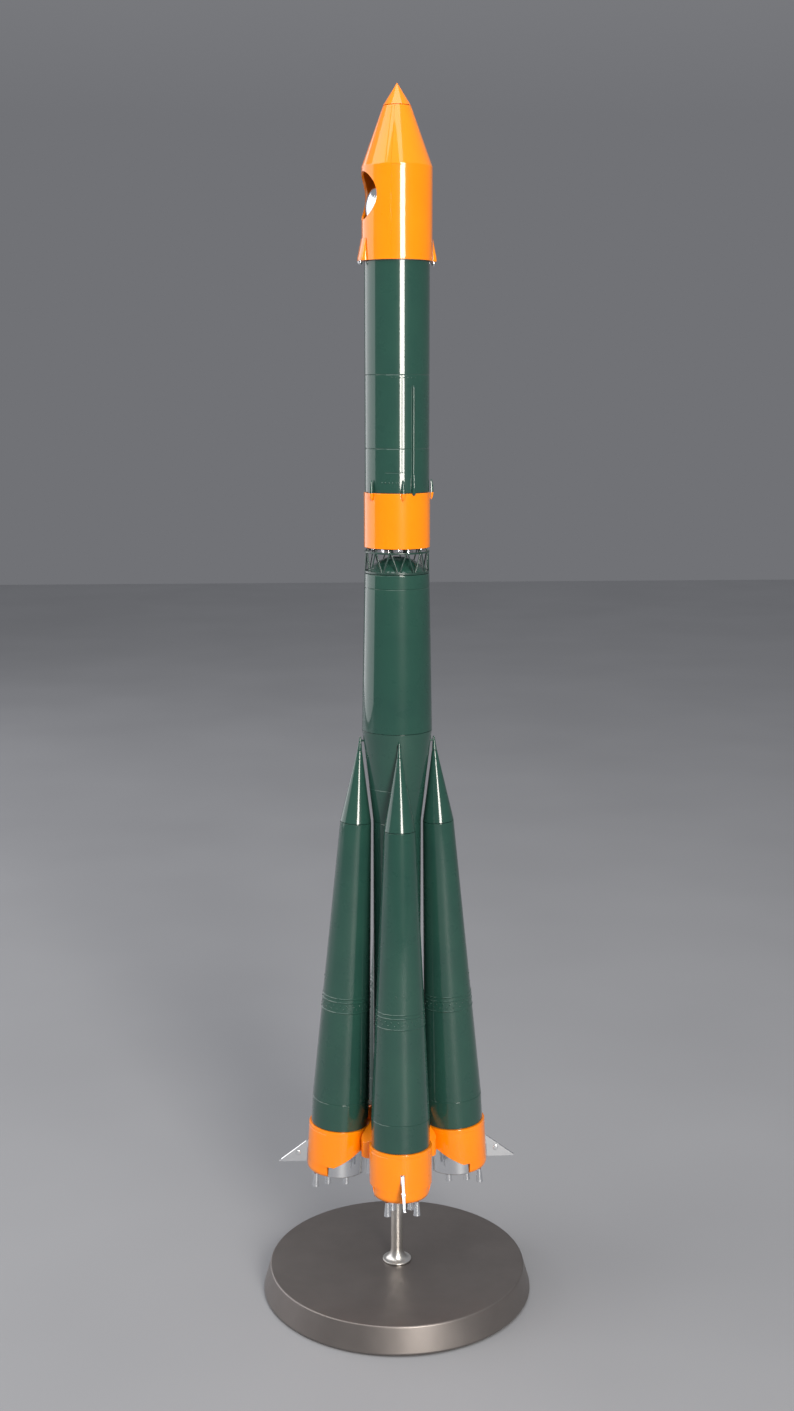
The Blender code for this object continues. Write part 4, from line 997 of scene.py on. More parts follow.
    def build_engine(self) -> None:
        """Chrome plate with four main nozzles and four verniers on arms."""
        low = self.skirt.bottom + WALL
        top = low + self.plate_thickness
        hole = self.socket_bore + GAP
        rim = self.tail_radius - WALL - GAP
        outline = soft([(hole, low, 0.2 * MM), (rim, low, 0.3 * MM), (rim, top, 0.2 * MM),
                        (hole, top)])
        pieces = [lathe("disc", outline, 96)]
        reach = self.pod_reach - WALL - 2 * GAP
        half = self.pod_half_width - WALL - 2 * GAP
        for quarter in range(4):
            turn = about_z(45 + 90 * quarter)
            inner, outer = rim - WALL, reach - half / 2
            arm = plate("arm", [(inner, low), (outer, low), (outer, top), (inner, top)],
                        2 * half, 0.25 * MM)
            main = nozzle("main", 0.5 * self.bell_radius, self.bell_radius,
                          self.bell_length - WALL / 2)
            main.data.transform(Matrix.Translation((self.bell_circle, 0, low)))
            vernier = nozzle("vernier", self.vernier_throat, self.vernier_mouth,
                             self.bell_length - WALL / 2)
            vernier.data.transform(Matrix.Translation((reach - half, 0, low)))
            for piece in (arm, main, vernier):
                piece.data.transform(turn)
                pieces.append(piece)
        made = merged("engine_core", pieces)
        show(made, Slot.CHROME, Body.CORE.value, "core_engine")

    @property
    def socket_bore(self) -> float:
        """Radius of the hole that takes the post's cap."""
        return Solid("post_cap").reach + GAP

    def build_socket(self) -> None:
        """Nylon socket inside the tail, with a flange under it."""
        flange_top = self.socket.bottom + WALL
        outer = self.socket_bore + WALL
        ceiling = self.socket.top - WALL
        outline = soft([(0.0, self.socket.top), (outer, self.socket.top, 0.5 * MM),
                        (outer, flange_top, 0.3 * MM), (self.socket.reach, flange_top, 0.2 * MM),
                        (self.socket.reach, self.socket.bottom, 0.2 * MM),
                        (self.socket_bore, self.socket.bottom, 0.3 * MM),
                        (self.socket_bore, ceiling), (0.0, ceiling)])
        show(lathe("post_socket_tube", outline, 96), Slot.NYLON, Body.CORE.value, "post_socket")

    def build_lower_tank(self) -> None:
        """Straight tank and its taper, with holes for the boosters' hooks and pegs."""
        inside = self.narrow - WALL
        top = self.lower_top
        plug_top = self.lower.top
        plug = self.radius(plug_top) - WALL - GAP
        taper = self.taper_height
        outline = soft([
            (self.narrow, self.waist, 0.2 * MM),
            *groove(self.narrow, self.waist + self.waist_ring),
            *groove(self.narrow, taper - 0.6 * MM),
            *groove(self.radius(taper + self.taper_ring), taper + self.taper_ring, 0.2 * MM),
            (self.radius(top), top, 0.15 * MM), (plug, top), (plug, plug_top),
            (plug - WALL, plug_top), (plug - WALL, top - WALL),
            (self.radius(top - 2 * WALL) - WALL, top - 2 * WALL), (inside, taper),
            (inside, self.waist)])
        tank = lathe("lower_tank", outline, 160)
        holes = []
        for facing in Facing:
            turn = about_z(facing.value)
            for radius, height, size in ((self.hinge_radius, self.hinge_height, self.hook_hole),
                                         (self.narrow, self.peg_height, self.peg_hole)):
                hole = bar("hole", Vector((radius - 3 * WALL, 0, height)),
                           Vector((radius + 3 * WALL, 0, height)), size, segments=32)
                hole.data.transform(turn)
                holes.append(hole)
        show(cut(tank, merged("holes", holes)), Slot.GREEN, Body.CORE.value, "core_lower_tank")

    @property
    def lower_top(self) -> float:
        """Height of the lower tank's shoulder, under the plug."""
        return self.knuckle_height - self.seam

    def build_upper_tank(self) -> None:
        """Upper tank with one engraved ring, a bright rolled lip and two rivets."""
        low, high = self.upper.bottom, self.upper.top
        ring = high - self.upper_ring
        outline = soft([
            (self.radius(low), low, 0.15 * MM), *groove(self.radius(ring), ring),
            (self.top_radius, high, 0.45 * MM), (self.top_radius - WALL, high),
            (self.radius(low) - WALL, low)])
        show(lathe("upper_tank", outline, 160), Slot.GREEN, Body.CORE.value, "core_upper_tank")
        sites = []
        height = high - self.rivet_drop
        for azimuth in self.rivet_azimuths:
            sites.append((polar(self.radius(height), azimuth, height), polar(1.0, azimuth)))
        show(studs("upper_tank_rivets", sites, 0.45 * MM, 0.2 * MM), Slot.GREEN, Body.CORE.value)

    def build_head(self) -> None:
        """Domed tank head that shows through the truss."""
        plug = self.top_radius - WALL - GAP
        shoulder = self.upper.top + self.head_shoulder
        rim = plug - GAP
        rise = self.dome.top - shoulder
        sphere = (rim ** 2 + rise ** 2) / (2 * rise)
        spread = math.asin(min(1.0, rim / sphere))
        steps = 22

        def arc(offset: float) -> Outline:
            """Points of the dome from the crown to the rim."""
            return [((sphere - offset) * math.sin(spread * i / steps),
                     self.dome.top - sphere + (sphere - offset) * math.cos(spread * i / steps))
                    for i in range(steps + 1)]

        hub = [(0.0, self.dome.top), (2.2 * MM, self.dome.top - 0.15 * MM),
               (2.5 * MM, self.dome.top - 0.5 * MM)]
        outline = [*hub, *[p for p in arc(0.0) if p[0] > 2.6 * MM],
                   (plug, shoulder - GAP), (plug, self.dome.bottom),
                   (plug - WALL, self.dome.bottom), *arc(WALL)[::-1]]
        show(lathe("tank_head", outline, 144), Slot.GREEN, Body.CORE.value, "core_dome")

    def build_truss(self) -> None:
        """Zigzag of struts between two rings, with stubs up to a collar in the band."""
        band = Solid("upper_stage_band")
        foot, foot_top = self.truss.bottom, self.truss.bottom + self.truss_foot
        head_top = band.bottom - self.truss_drop
        head = head_top - self.truss_head
        outer, bore = self.truss.reach, self.top_radius - WALL
        plug = band.reach - self.band_wall - GAP
        collar_low, collar_top = band.bottom - GAP, self.truss.top
        edge = 0.3 * MM
        middle = (outer + bore) / 2
        pieces = []
        for low, high, wide, tight in ((foot, foot_top, outer, bore), (head, head_top, outer, bore),
                                       (collar_low, collar_top, plug, plug - WALL)):
            centre = (low + high) / 2
            pieces.append(lathe("ring", soft([
                (tight, centre), (tight, low, edge), (wide, low, edge), (wide, high, edge),
                (tight, high, edge), (tight, centre + 1e-6)]), 144))
        bay_angle = 360.0 / self.truss_bays
        lean = math.degrees(1.3 * self.strut / middle)
        for bay in range(self.truss_bays):
            node = bay_angle * (bay + 0.5)
            stub_foot = polar(middle, node, head_top - self.strut)
            stub_head = polar(plug - WALL / 2, node, collar_low + self.strut)
            pieces.append(bar("stub", stub_foot, stub_head, self.strut, segments=14))
            pieces.append(ball("gusset", stub_foot, 1.5 * self.strut, 16))
            for side in (-1, 1):
                low = bay_angle * bay + side * lean
                high = bay_angle * (bay + side / 2) - side * lean
                pieces.append(bar("strut", polar(middle, low, foot_top - self.strut),
                                  polar(middle, high, head + self.strut), self.strut,
                                  segments=14))
        made = merged("open_truss", pieces)
        show(made, Slot.TRUSS_GREEN, Body.CORE.value, "interstage_truss")


# ---------------------------------------------------------------- boosters


@dataclass
class BoosterPattern:
    """One booster in its own frame: its axis is Z, its apex is the origin and +X faces outward."""

    tip_length: float = 8.3 * MM
    tip_radius: float = 1.45 * MM
    nose_length: float = 51.1 * MM
    nose_radius: float = 9.2 * MM
    taper_length: float = 170.7 * MM
    radius: float = 17.3 * MM
    straight_length: float = 17.6 * MM
    skirt_radius: float = 18.6 * MM
    skirt_length: float = 29.9 * MM
    flap_half_angle: float = 67.5
    flap_step: float = 1.0 * MM
    flap_curl: float = 3.4 * MM
    flap_inset: float = 2.4 * MM
    flap_wall: float = 0.9 * MM
    shoulder_half_angle: float = 81.0
    shoulder_length: float = 7.2 * MM
    cutout_half_angle: float = 130.0
    cutout_length: float = 16.4 * MM
    fin_rise: float = 4.4 * MM
    tab_rise: float = 11.8 * MM
    tab_length: float = 6.0 * MM
    bell_length: float = 9.0 * MM
    bell_radius: float = 2.1 * MM
    bell_throat: float = 1.2 * MM
    bell_spacing: float = 5.5 * MM
    vernier_out: float = 13.0 * MM
    vernier_side: float = 8.6 * MM
    vernier_throat: float = 1.25 * MM
    arm_width: float = 2.0 * MM
    fin_thickness: float = 1.9 * MM
    fin_span: float = 18.6 * MM
    fin_height: float = 14.6 * MM
    fin_lift: float = 0.2 * MM
    fin_rim: float = 0.75 * MM
    hook_radius: float = 0.65 * MM
    hook_ball: float = 1.05 * MM
    hook_reach: float = 2.4 * MM
    peg_radius: float = 1.5 * MM
    peg_height: float = 12.0 * MM
    peg_insertion: float = 1.5 * MM
    core_radius: float = 14.2 * MM
    nose_ring: float = 13.4 * MM
    bead_stations: tuple[float, ...] = (156.9 * MM, 159.2 * MM, 165.5 * MM)
    bead_height: float = 0.28 * MM
    bead_half_width: float = 0.36 * MM
    rivet_rows: tuple[float, float] = (163.3 * MM, 161.3 * MM)
    rivet_count: int = 44
    rivet_radius: float = 0.5 * MM
    rivet_height: float = 0.32 * MM
    pair_station: float = 146.0 * MM
    pair_azimuths: tuple[float, float] = (-14.0, 5.0)
    apex_radius: float = 21.57 * MM
    apex_height: float = 348.5 * MM
    hinge_radius: float = 19.176 * MM
    hinge_height: float = 346.0 * MM
    tail_radius: float = 35.0 * MM

    def __post_init__(self) -> None:
        """Works out the lean and the stations down the axis."""
        self.skirt_station = self.nose_length + self.taper_length + self.straight_length
        self.lean = math.asin((self.tail_radius - self.apex_radius) / self.skirt_station)
        self.bottom = -(self.skirt_station + self.skirt_length)

    def placed(self, facing: Facing) -> Matrix:
        """Where a booster's own frame stands in the row frame."""
        return (about_z(facing.value)
                @ Matrix.Translation((self.apex_radius, 0, self.apex_height))
                @ Matrix.Rotation(-self.lean, 4, "Y"))

    def local(self, radius: float, height: float) -> Point:
        """(x, z) in the booster's frame of a radius and height in the row frame."""
        offset = Vector((radius - self.apex_radius, height - self.apex_height))
        return (offset.dot(Vector((math.cos(self.lean), math.sin(self.lean)))),
                offset.dot(Vector((-math.sin(self.lean), math.cos(self.lean)))))

    def nose_at(self, station: float) -> float:
        """Radius of the nose cone at a station."""
        share = (station - self.tip_length) / (self.nose_length - self.tip_length)
        return self.tip_radius + share * (self.nose_radius - self.tip_radius)

    def tank_at(self, station: float) -> float:
        """Radius of the tank at a station."""
        share = min(1.0, (station - self.nose_length) / self.taper_length)
        return self.nose_radius + share * (self.radius - self.nose_radius)

    def hook(self) -> bpy.types.Object:
        """Slim tip with the arm and ball that hang in the core's wall."""
        stem = self.hook_radius
        outline = soft([(0.0, 0.0), (0.5 * stem, -0.12 * stem), (0.78 * stem, -0.6 * stem),
                        (self.tip_radius, -self.tip_length, 0.15 * MM), (stem, -self.tip_length),
                        (stem, -self.tip_length - SPIGOT), (0.0, -self.tip_length - SPIGOT)])
        x, z = self.local(self.hinge_radius, self.hinge_height)
        end = Vector((x - self.hook_reach, 0, z))
        return merged("hook", [
            lathe("tip", outline, 48), bar("arm", Vector((0.2 * stem, 0, z)), end, stem),
            ball("ball", end, self.hook_ball)])

    def nose(self) -> bpy.types.Object:
        """Nose cone with one engraved ring near its tip."""
        top, bottom = self.tip_length + GAP, self.nose_length - GAP / 2
        bore = self.hook_radius + GAP
        ring = self.nose_ring
        outline = soft([
            (bore, -top), (self.nose_at(top), -top, 0.1 * MM),
            *[(r, -h) for r, h in groove(self.nose_at(ring), ring, 0.15 * MM, 0.2 * MM)],
            (self.nose_at(bottom), -bottom, 0.2 * MM), (self.nose_at(bottom) - WALL, -bottom),
            (bore, -top - SPIGOT - WALL)])
        return lathe("nose", outline, 112)

    def tank(self) -> bpy.types.Object:
        """Tapered tank with its raised bands and a hole for the peg; its rivets are a piece of their
        own.
        """
        top, bottom = self.nose_length + GAP / 2, self.skirt_station - GAP
        shoulder = self.nose_length + self.taper_length
        plug = self.nose_at(self.nose_length - SPIGOT) - WALL - GAP
        beads: Outline = []
        for station in self.bead_stations:
            beads += [(r, -h) for r, h in groove(self.tank_at(station), station,
                                                 -self.bead_height, self.bead_half_width)]
        outline = soft([
            (plug, SPIGOT - self.nose_length), (plug, -top), (self.tank_at(top), -top, 0.2 * MM),
            *beads, *[(r, -h) for r, h in groove(self.radius, shoulder + 0.6 * MM, 0.2 * MM)],
            (self.radius, -bottom), (self.radius - WALL, -bottom),
            (self.radius - WALL, -shoulder), (plug - WALL, -top - WALL),
            (plug - WALL, SPIGOT - self.nose_length)])
        hole = bar("hole", Vector((3 * WALL - self.radius, 0, self.peg_z)),
                   Vector((-self.radius - WALL, 0, self.peg_z)), self.peg_radius + GAP, segments=32)
        return cut(lathe("tank", outline, 144), hole)

    @property
    def peg_z(self) -> float:
        """Height of the base peg in the booster's frame."""
        return -(self.skirt_station - self.peg_height)

    def rivets(self) -> bpy.types.Object:
        """Zigzag of rivets between the bands, and two above them at the front."""
        slope = (self.radius - self.nose_radius) / self.taper_length
        places = [(self.rivet_rows[i % 2], 360.0 * i / self.rivet_count)
                  for i in range(self.rivet_count)]
        places += [(self.pair_station, azimuth) for azimuth in self.pair_azimuths]
        sites = [(polar(self.tank_at(station), azimuth, -station), polar(1.0, azimuth, slope))
                 for station, azimuth in places]
        return studs("rivets", sites, self.rivet_radius, self.rivet_height)

    def edge_height(self, angle: float) -> float:
        """Height of the skirt's lower edge over its lowest point, at an angle from outward."""
        if angle < self.shoulder_half_angle:
            return self.shoulder_length
        share = (angle - self.shoulder_half_angle) / (self.cutout_half_angle
                                                      - self.shoulder_half_angle)
        return self.shoulder_length + min(1.0, share) * (self.cutout_length - self.shoulder_length)

    def flap_section(self, angle: float) -> tuple[Outline, Outline]:
        """Outer and inner line of the flap at an angle, from its root down to its curled rim.

        Args:
            angle: Degrees from straight outward.

        Returns:
            The outer and the inner line, each as (radius, height) points.
        """
        full = 1 - math.cos(math.radians(self.flap_half_angle))
        face = self.skirt_radius - self.flap_step * (1 - math.cos(math.radians(angle))) / full
        root = self.bottom + self.shoulder_length
        curl = self.bottom + self.flap_curl
        outer: Outline = [(face, root + 0.02 * MM), (face, root - 0.4 * MM),
                          (face, curl + 0.4 * MM)]
        steps = 8
        for step in range(steps + 1):
            turn = math.pi / 2 * step / steps
            outer.append((face - self.flap_inset * (1 - math.cos(turn)),
                          curl - self.flap_curl * math.sin(turn)))
        edge = face - self.flap_inset - self.flap_wall
        inner = [(max(edge, r - WALL), max(z, self.bottom)) for r, z in outer]
        inner[-1] = (edge, self.bottom)
        return outer, inner

    def skirt(self) -> bpy.types.Object:
        """Orange skirt whose lower edge steps and ramps, with its flap and fin slot."""
        top = -self.skirt_station
        bore = self.skirt_radius - WALL
        plug = self.radius - WALL - GAP
        count = len(self.flap_section(0.0)[0])
        hair = 0.05
        angles = [-180.0 + 2.5 * i for i in range(144)]
        corners = [self.flap_half_angle, self.shoulder_half_angle, self.cutout_half_angle]
        kept = [a for a in angles if all(abs(abs(a) - c) > 0.6 for c in corners)]
        edges = [side * (corner + step) for side in (-1, 1) for corner in corners
                 for step in ((-hair, hair) if corner == self.flap_half_angle else (0.0,))]
        head = [(bore, top - WALL), (plug - WALL, top - WALL), (plug - WALL, top + SPIGOT),
                (plug, top + SPIGOT), (plug, top)]
        face = self.skirt_radius
        rim = [(face - 0.25 * MM, top), (face - 0.07 * MM, top - 0.07 * MM),
               (face, top - 0.25 * MM), (face, top - 0.6 * MM), (face, top - 1.9 * MM),
               (face - 0.15 * MM, top - 2.1 * MM), (face, top - 2.3 * MM), (face, top - 2.7 * MM)]
        ease = 0.2 * MM
        bm = bmesh.new()
        columns = []
        for angle in sorted(kept + edges):
            edge = self.bottom + self.edge_height(abs(angle))
            wall = [(face, edge + 2.5 * ease), (face, edge + ease)]
            if abs(angle) < self.flap_half_angle:
                outer, inner = self.flap_section(angle)
            else:
                outer = [(face - ease * i / (count - 1), edge + ease * (1 - i / (count - 1)))
                         for i in range(count)]
                inner = [(bore, z) for _, z in outer]
            section = [*rim, *wall, *outer, *inner[::-1], (bore, edge + 2.5 * ease), *head]
            columns.append([bm.verts.new(polar(r, angle, z)) for r, z in section])
        for i, column in enumerate(columns):
            after = columns[(i + 1) % len(columns)]
            for j in range(len(column)):
                k = (j + 1) % len(column)
                bm.faces.new((column[j], column[k], after[k], after[j]))
        skirt = new_piece("skirt", bm)
        low = self.bottom + self.tab_rise
        high = low + self.tab_length + GAP
        slot = plate("slot", [(bore - WALL, low - GAP), (face + WALL, low - GAP),
                              (face + WALL, high), (bore - WALL, high)],
                     self.fin_thickness + 2 * GAP, 0.0)
        return cut(skirt, slot)

    def fin(self) -> bpy.types.Object:
        """Swept fin with a raised rim along its edges and a rivet."""
        root = self.skirt_radius + GAP
        axis = self.apex_radius + self.skirt_station * math.sin(self.lean)
        low = (self.apex_height - (self.skirt_station + self.skirt_length) * math.cos(self.lean)
               + self.fin_rise)
        tip_x, tip_z = self.local(axis + self.skirt_radius + self.fin_span, low + self.fin_lift)
        inner_z = self.local(axis + self.skirt_radius, low)[1]
        tab = self.bottom + self.tab_rise
        top_z = tip_z + self.fin_height
        tab_in = self.skirt_radius - WALL - GAP
        outline = [(root, top_z), (tip_x - 1.6 * MM, tip_z + 1.75 * MM),
                   (tip_x - 0.55 * MM, tip_z + 1.05 * MM), (tip_x - 0.05 * MM, tip_z + 0.5 * MM),
                   (tip_x, tip_z + 0.12 * MM), (tip_x - 0.3 * MM, tip_z), (root, inner_z),
                   (root, tab), (tab_in, tab), (tab_in, tab + self.tab_length),
                   (root, tab + self.tab_length)]
        web = plate("web", outline, 0.8 * self.fin_thickness, 0.12 * MM)
        pieces = [web]
        corners = [Vector((root + 0.4 * MM, 0, top_z - 1.1 * MM)),
                   Vector((tip_x - 1.5 * MM, 0, tip_z + 1.0 * MM)),
                   Vector((root + 0.9 * MM, 0, inner_z + 0.75 * MM))]
        for start, end in zip(corners, corners[1:]):
            pieces.append(bar("edge", start, end, self.fin_rim, segments=20, lip=0.3 * MM))
        rivet_x, rivet_z = root + 5.6 * MM, tip_z + 6.1 * MM
        side = self.fin_thickness / 2 + GAP
        pieces.append(bar("rivet", Vector((rivet_x, -side, rivet_z)),
                          Vector((rivet_x, side, rivet_z)), self.peg_radius, segments=32,
                          lip=0.3 * MM))
        return merged("fin", pieces)

    def engine(self) -> bpy.types.Object:
        """Chrome tail: drum relieved under the flap, four nozzles and two verniers."""
        top = -self.skirt_station - WALL - GAP
        floor = self.bottom + GAP
        outer = self.skirt_radius - WALL - GAP
        inside = (self.skirt_radius - self.flap_step - self.flap_inset - self.flap_wall - GAP)
        hollow = inside - WALL
        edge = self.flap_half_angle + 2.0
        relief_top = floor + self.shoulder_length + 2 * WALL

        def relieved(radius: float, azimuth: float, height: float) -> float:
            """Sets the drum back under the flap."""
            away = abs((azimuth + 180.0) % 360.0 - 180.0)
            if away > edge or height > relief_top or radius <= inside:
                return 0.0
            return inside - radius

        drum = soft([(0.0, floor), (outer, floor, 0.7 * MM), (outer, relief_top),
                     (outer, relief_top + 0.02 * MM), (outer, top, 0.3 * MM), (hollow, top),
                     (hollow, floor + WALL), (0.0, floor + WALL)])
        pieces = [lathe("drum", drum, 144, (edge - 0.05, edge + 0.05, -edge + 0.05, -edge - 0.05),
                        relieved)]
        under_plate = floor - 0.35 * MM
        boss = soft([(0.0, under_plate), (inside - 3.0 * MM, under_plate, 0.2 * MM),
                     (inside - 2.6 * MM, floor + 0.2 * MM), (0.0, floor + 0.2 * MM)])
        pieces.append(lathe("boss", boss, 96))
        for x in (-self.bell_spacing, self.bell_spacing):
            for y in (-self.bell_spacing, self.bell_spacing):
                bell = nozzle("bell", self.bell_throat, self.bell_radius,
                              self.bell_length - WALL / 2)
                bell.data.transform(Matrix.Translation((x, y, floor)))
                pieces.append(bell)
        under = self.bottom - GAP
        reach = math.hypot(self.vernier_out, self.vernier_side)
        angle = math.degrees(math.atan2(self.vernier_side, self.vernier_out))
        outline = [(hollow - 2 * WALL, floor + WALL / 2), (inside - WALL / 2, floor + WALL / 2),
                   (inside - WALL / 2, under), (reach + 0.6 * MM, under),
                   (reach + 0.6 * MM, under - WALL), (hollow - 2 * WALL, under - WALL)]
        for side in (-angle, angle):
            arm = plate("arm", outline, self.arm_width, 0.15 * MM)
            arm.data.transform(about_z(side))
            pieces.append(arm)
            bell = nozzle("vernier", self.vernier_throat, self.bell_radius,
                          self.bell_length - (floor - under) - WALL / 3)
            bell.data.transform(about_z(side) @ Matrix.Translation((reach, 0, under - WALL / 3)))
            pieces.append(bell)
        return merged("engine", pieces)

    def peg(self) -> bpy.types.Object:
        """Nylon peg with a flange inside the tank."""
        station = self.skirt_station - self.peg_height
        wall = self.apex_radius + station * math.sin(self.lean) - self.core_radius
        end = -wall / math.cos(self.lean) - WALL - self.peg_insertion
        head = WALL - self.radius + 2 * GAP
        peg = bar("peg", Vector((head + WALL, 0, self.peg_z)), Vector((end, 0, self.peg_z)),
                  self.peg_radius, segments=32, lip=0.6 * MM)
        flange = bar("flange", Vector((head + 0.9 * WALL, 0, self.peg_z)),
                     Vector((head, 0, self.peg_z)), 1.6 * self.peg_radius, segments=32,
                     lip=0.2 * MM)
        return merged("peg", [peg, flange])

    def build(self) -> None:
        """Makes each piece once, and shows it at each of the four places."""
        patterns = (
            (self.hook(), "hook", Slot.GREEN, "hook"), (self.nose(), "nose", Slot.GREEN, "nose"),
            (self.tank(), "tank", Slot.GREEN, "tank"), (self.rivets(), "rivets", Slot.GREEN, ""),
            (self.skirt(), "skirt", Slot.ORANGE, "skirt"),
            (self.engine(), "engine", Slot.CHROME, "engine"),
            (self.fin(), "fin", Slot.CHROME, "fin"),
            (self.peg(), "base_peg", Slot.NYLON, "base_peg"),
        )
        for facing in Facing:
            for pattern, piece, slot, node in patterns:
                copy = bpy.data.objects.new(f"{piece}_{facing.side}", pattern.data)
                bpy.context.scene.collection.objects.link(copy)
                copy.matrix_world = self.placed(facing)
                nodes = (f"booster_{facing.side}_{node}",) if node else ()
                show(copy, slot, f"booster_{facing.side}", *nodes)
        for pattern, *_ in patterns:
            bpy.data.objects.remove(pattern)


# ---------------------------------------------------------------- upper stage


@dataclass
class UpperStage:
    """Orange band, green tank with its fittings, engine, and the payload under the fairing."""

    band_wall: float = 1.4 * MM
    stage_radius: float = 18.45 * MM
    lower_groove: float = 24.8 * MM
    upper_groove: float = 65.6 * MM
    panel_bottom: float = 11.6 * MM
    panel_left: float = -115.0
    panel_right: float = -84.8
    raceway_azimuth: float = -64.0
    bell_circle: float = 8.0 * MM
    bell_radius: float = 3.5 * MM
    line: float = 0.16 * MM
    pods: tuple[tuple[str, float], ...] = (("front", -83.0), ("left", -140.9), ("right", -5.5))
    body: str = Body.UPPER_STAGE.value

    def __post_init__(self) -> None:
        """Measures the solids."""
        self.band = Solid("upper_stage_band")
        self.tank = Solid("upper_stage_tank")
        self.engine = Solid("upper_engine")
        self.deck = Solid("payload_deck")
        self.module = Solid("service_module")
        self.capsule = Solid("capsule_ball")

    def build(self) -> None:
        """Makes every piece of the upper stage."""
        self.build_band()
        self.build_tank()
        self.build_rivets()
        self.build_engine()
        self.build_raceway()
        self.build_joint_pods()
        self.build_deck()
        self.build_module()
        self.build_capsule()

    def build_band(self) -> None:
        """Orange band with eased rims and a ledge inside."""
        wide, bore = self.band.reach, self.band.reach - self.band_wall
        ledge = self.engine_plate + 2 * WALL + GAP
        outline = soft([
            (wide, (self.band.bottom + self.band.top) / 2), (wide, self.band.top, 0.35 * MM),
            (bore, self.band.top, 0.2 * MM), (bore, ledge + WALL), (bore - WALL, ledge + WALL),
            (bore - WALL, ledge), (bore, ledge), (bore, self.band.bottom, 0.2 * MM),
            (wide, self.band.bottom, 0.4 * MM),
            (wide, (self.band.bottom + self.band.top) / 2 - 0.1 * MM)])
        show(lathe("orange_band", outline, 176), Slot.ORANGE, self.body, "upper_stage_band")

    @property
    def engine_plate(self) -> float:
        """Height of the engine plate's underside."""
        return self.engine.top - 2 * WALL

    def build_tank(self) -> None:
        """Green tank with two engraved rings and the outline of an access panel."""
        low = self.band.top + GAP
        plug = self.band.reach - self.band_wall - GAP
        inside = self.stage_radius - WALL
        radius = self.stage_radius
        panel_low = self.band.top + self.panel_bottom
        panel_top = self.band.top + self.upper_groove
        half = 0.2 * MM
        outline = soft([
            (plug, self.tank.bottom), (plug, low), (radius, low, 0.25 * MM),
            (radius, panel_low - 2 * half), (radius, panel_low - half), (radius, panel_low),
            (radius, panel_low + half), (radius, panel_low + 2 * half),
            *groove(radius, self.band.top + self.lower_groove, 0.2 * MM),
            *groove(radius, panel_top, 0.2 * MM),
            (radius, self.tank.top, 0.2 * MM), (inside, self.tank.top), (inside, low + 2 * WALL),
            (plug - WALL, low + WALL), (plug - WALL, self.tank.bottom)])
        width = 0.5
        left, right = self.panel_left, self.panel_right
        stops = [side + step for side in (left, right) for step in (-2 * width, -width, 0.0, width,
                                                                   2 * width)]

        def panel(at_radius: float, azimuth: float, height: float) -> float:
            """Engraves the panel's lower and right edge."""
            angle = (azimuth + 180.0) % 360.0 - 180.0
            if at_radius < radius - 0.25 * MM:
                return 0.0
            inside_panel = left - width < angle < right + width
            if inside_panel and abs(height - panel_low) < 0.6 * half:
                return -self.line
            if abs(angle - right) < 0.5 * width and panel_low - half < height < panel_top:
                return -self.line
            return 0.0

        show(lathe("stage_tank", outline, 176, stops, panel), Slot.GREEN, self.body,
             "upper_stage_tank")

    def build_rivets(self) -> None:
        """Two short rows of rivets, over the lower joint and under the upper ring."""
        rows = ((self.band.top + 6.0 * MM, (-120.6, -114.0, -107.5, -101.0, -94.5, -91.0)),
                (self.band.top + 64.0 * MM, tuple(-103.0 + 7.2 * i for i in range(7))))
        sites = []
        for height, azimuths in rows:
            for azimuth in azimuths:
                sites.append((polar(self.stage_radius, azimuth, height), polar(1.0, azimuth)))
        show(studs("stage_rivets", sites, 0.42 * MM, 0.22 * MM), Slot.GREEN, self.body)

    def build_engine(self) -> None:
        """Chrome plate with four nozzles and four small verniers."""
        low = self.engine_plate
        rim = self.band.reach - self.band_wall - GAP
        top = self.engine.top
        pieces = [lathe("plate", soft([(0.0, low), (rim, low, 0.3 * MM), (rim, top, 0.2 * MM),
                                       (0.0, top)]), 112)]
        length = low - self.engine.bottom
        for quarter in range(4):
            bell = nozzle("bell", 0.5 * self.bell_radius, self.bell_radius, length)
            bell.data.transform(about_z(45 + 90 * quarter)
                                @ Matrix.Translation((self.bell_circle, 0, low)))
            small = nozzle("small", 0.6 * MM, 1.05 * MM, 0.75 * length, 0.2 * MM, 28)
            small.data.transform(about_z(90 * quarter)
                                 @ Matrix.Translation((1.7 * self.bell_circle, 0, low)))
            pieces += [bell, small]
        show(merged("engine_upper", pieces), Slot.CHROME, self.body, "upper_engine")

    def fairlead(self, name: str, azimuth: float, stations: Sequence[tuple[float, ...]]
                 ) -> bpy.types.Object:
        """Streamlined ridge along the tank.

        Args:
            name: Name of the object.
            azimuth: Azimuth of its middle in degrees.
            stations: (height, inner radius, half width, rise) of each section.

        Returns:
            The object.
        """
        rings: list[Ring] = []
        steps = 12
        for height, inner, half, rise in stations:
            ring = []
            for step in range(steps + 1):
                angle = math.pi * step / steps
                across = -half * math.cos(angle)
                out = inner + rise * math.sin(angle) ** 0.7
                ring.append(about_z(azimuth) @ Vector((out, across, height)))
            rings.append(ring)
        return loft(name, rings, 50.0)

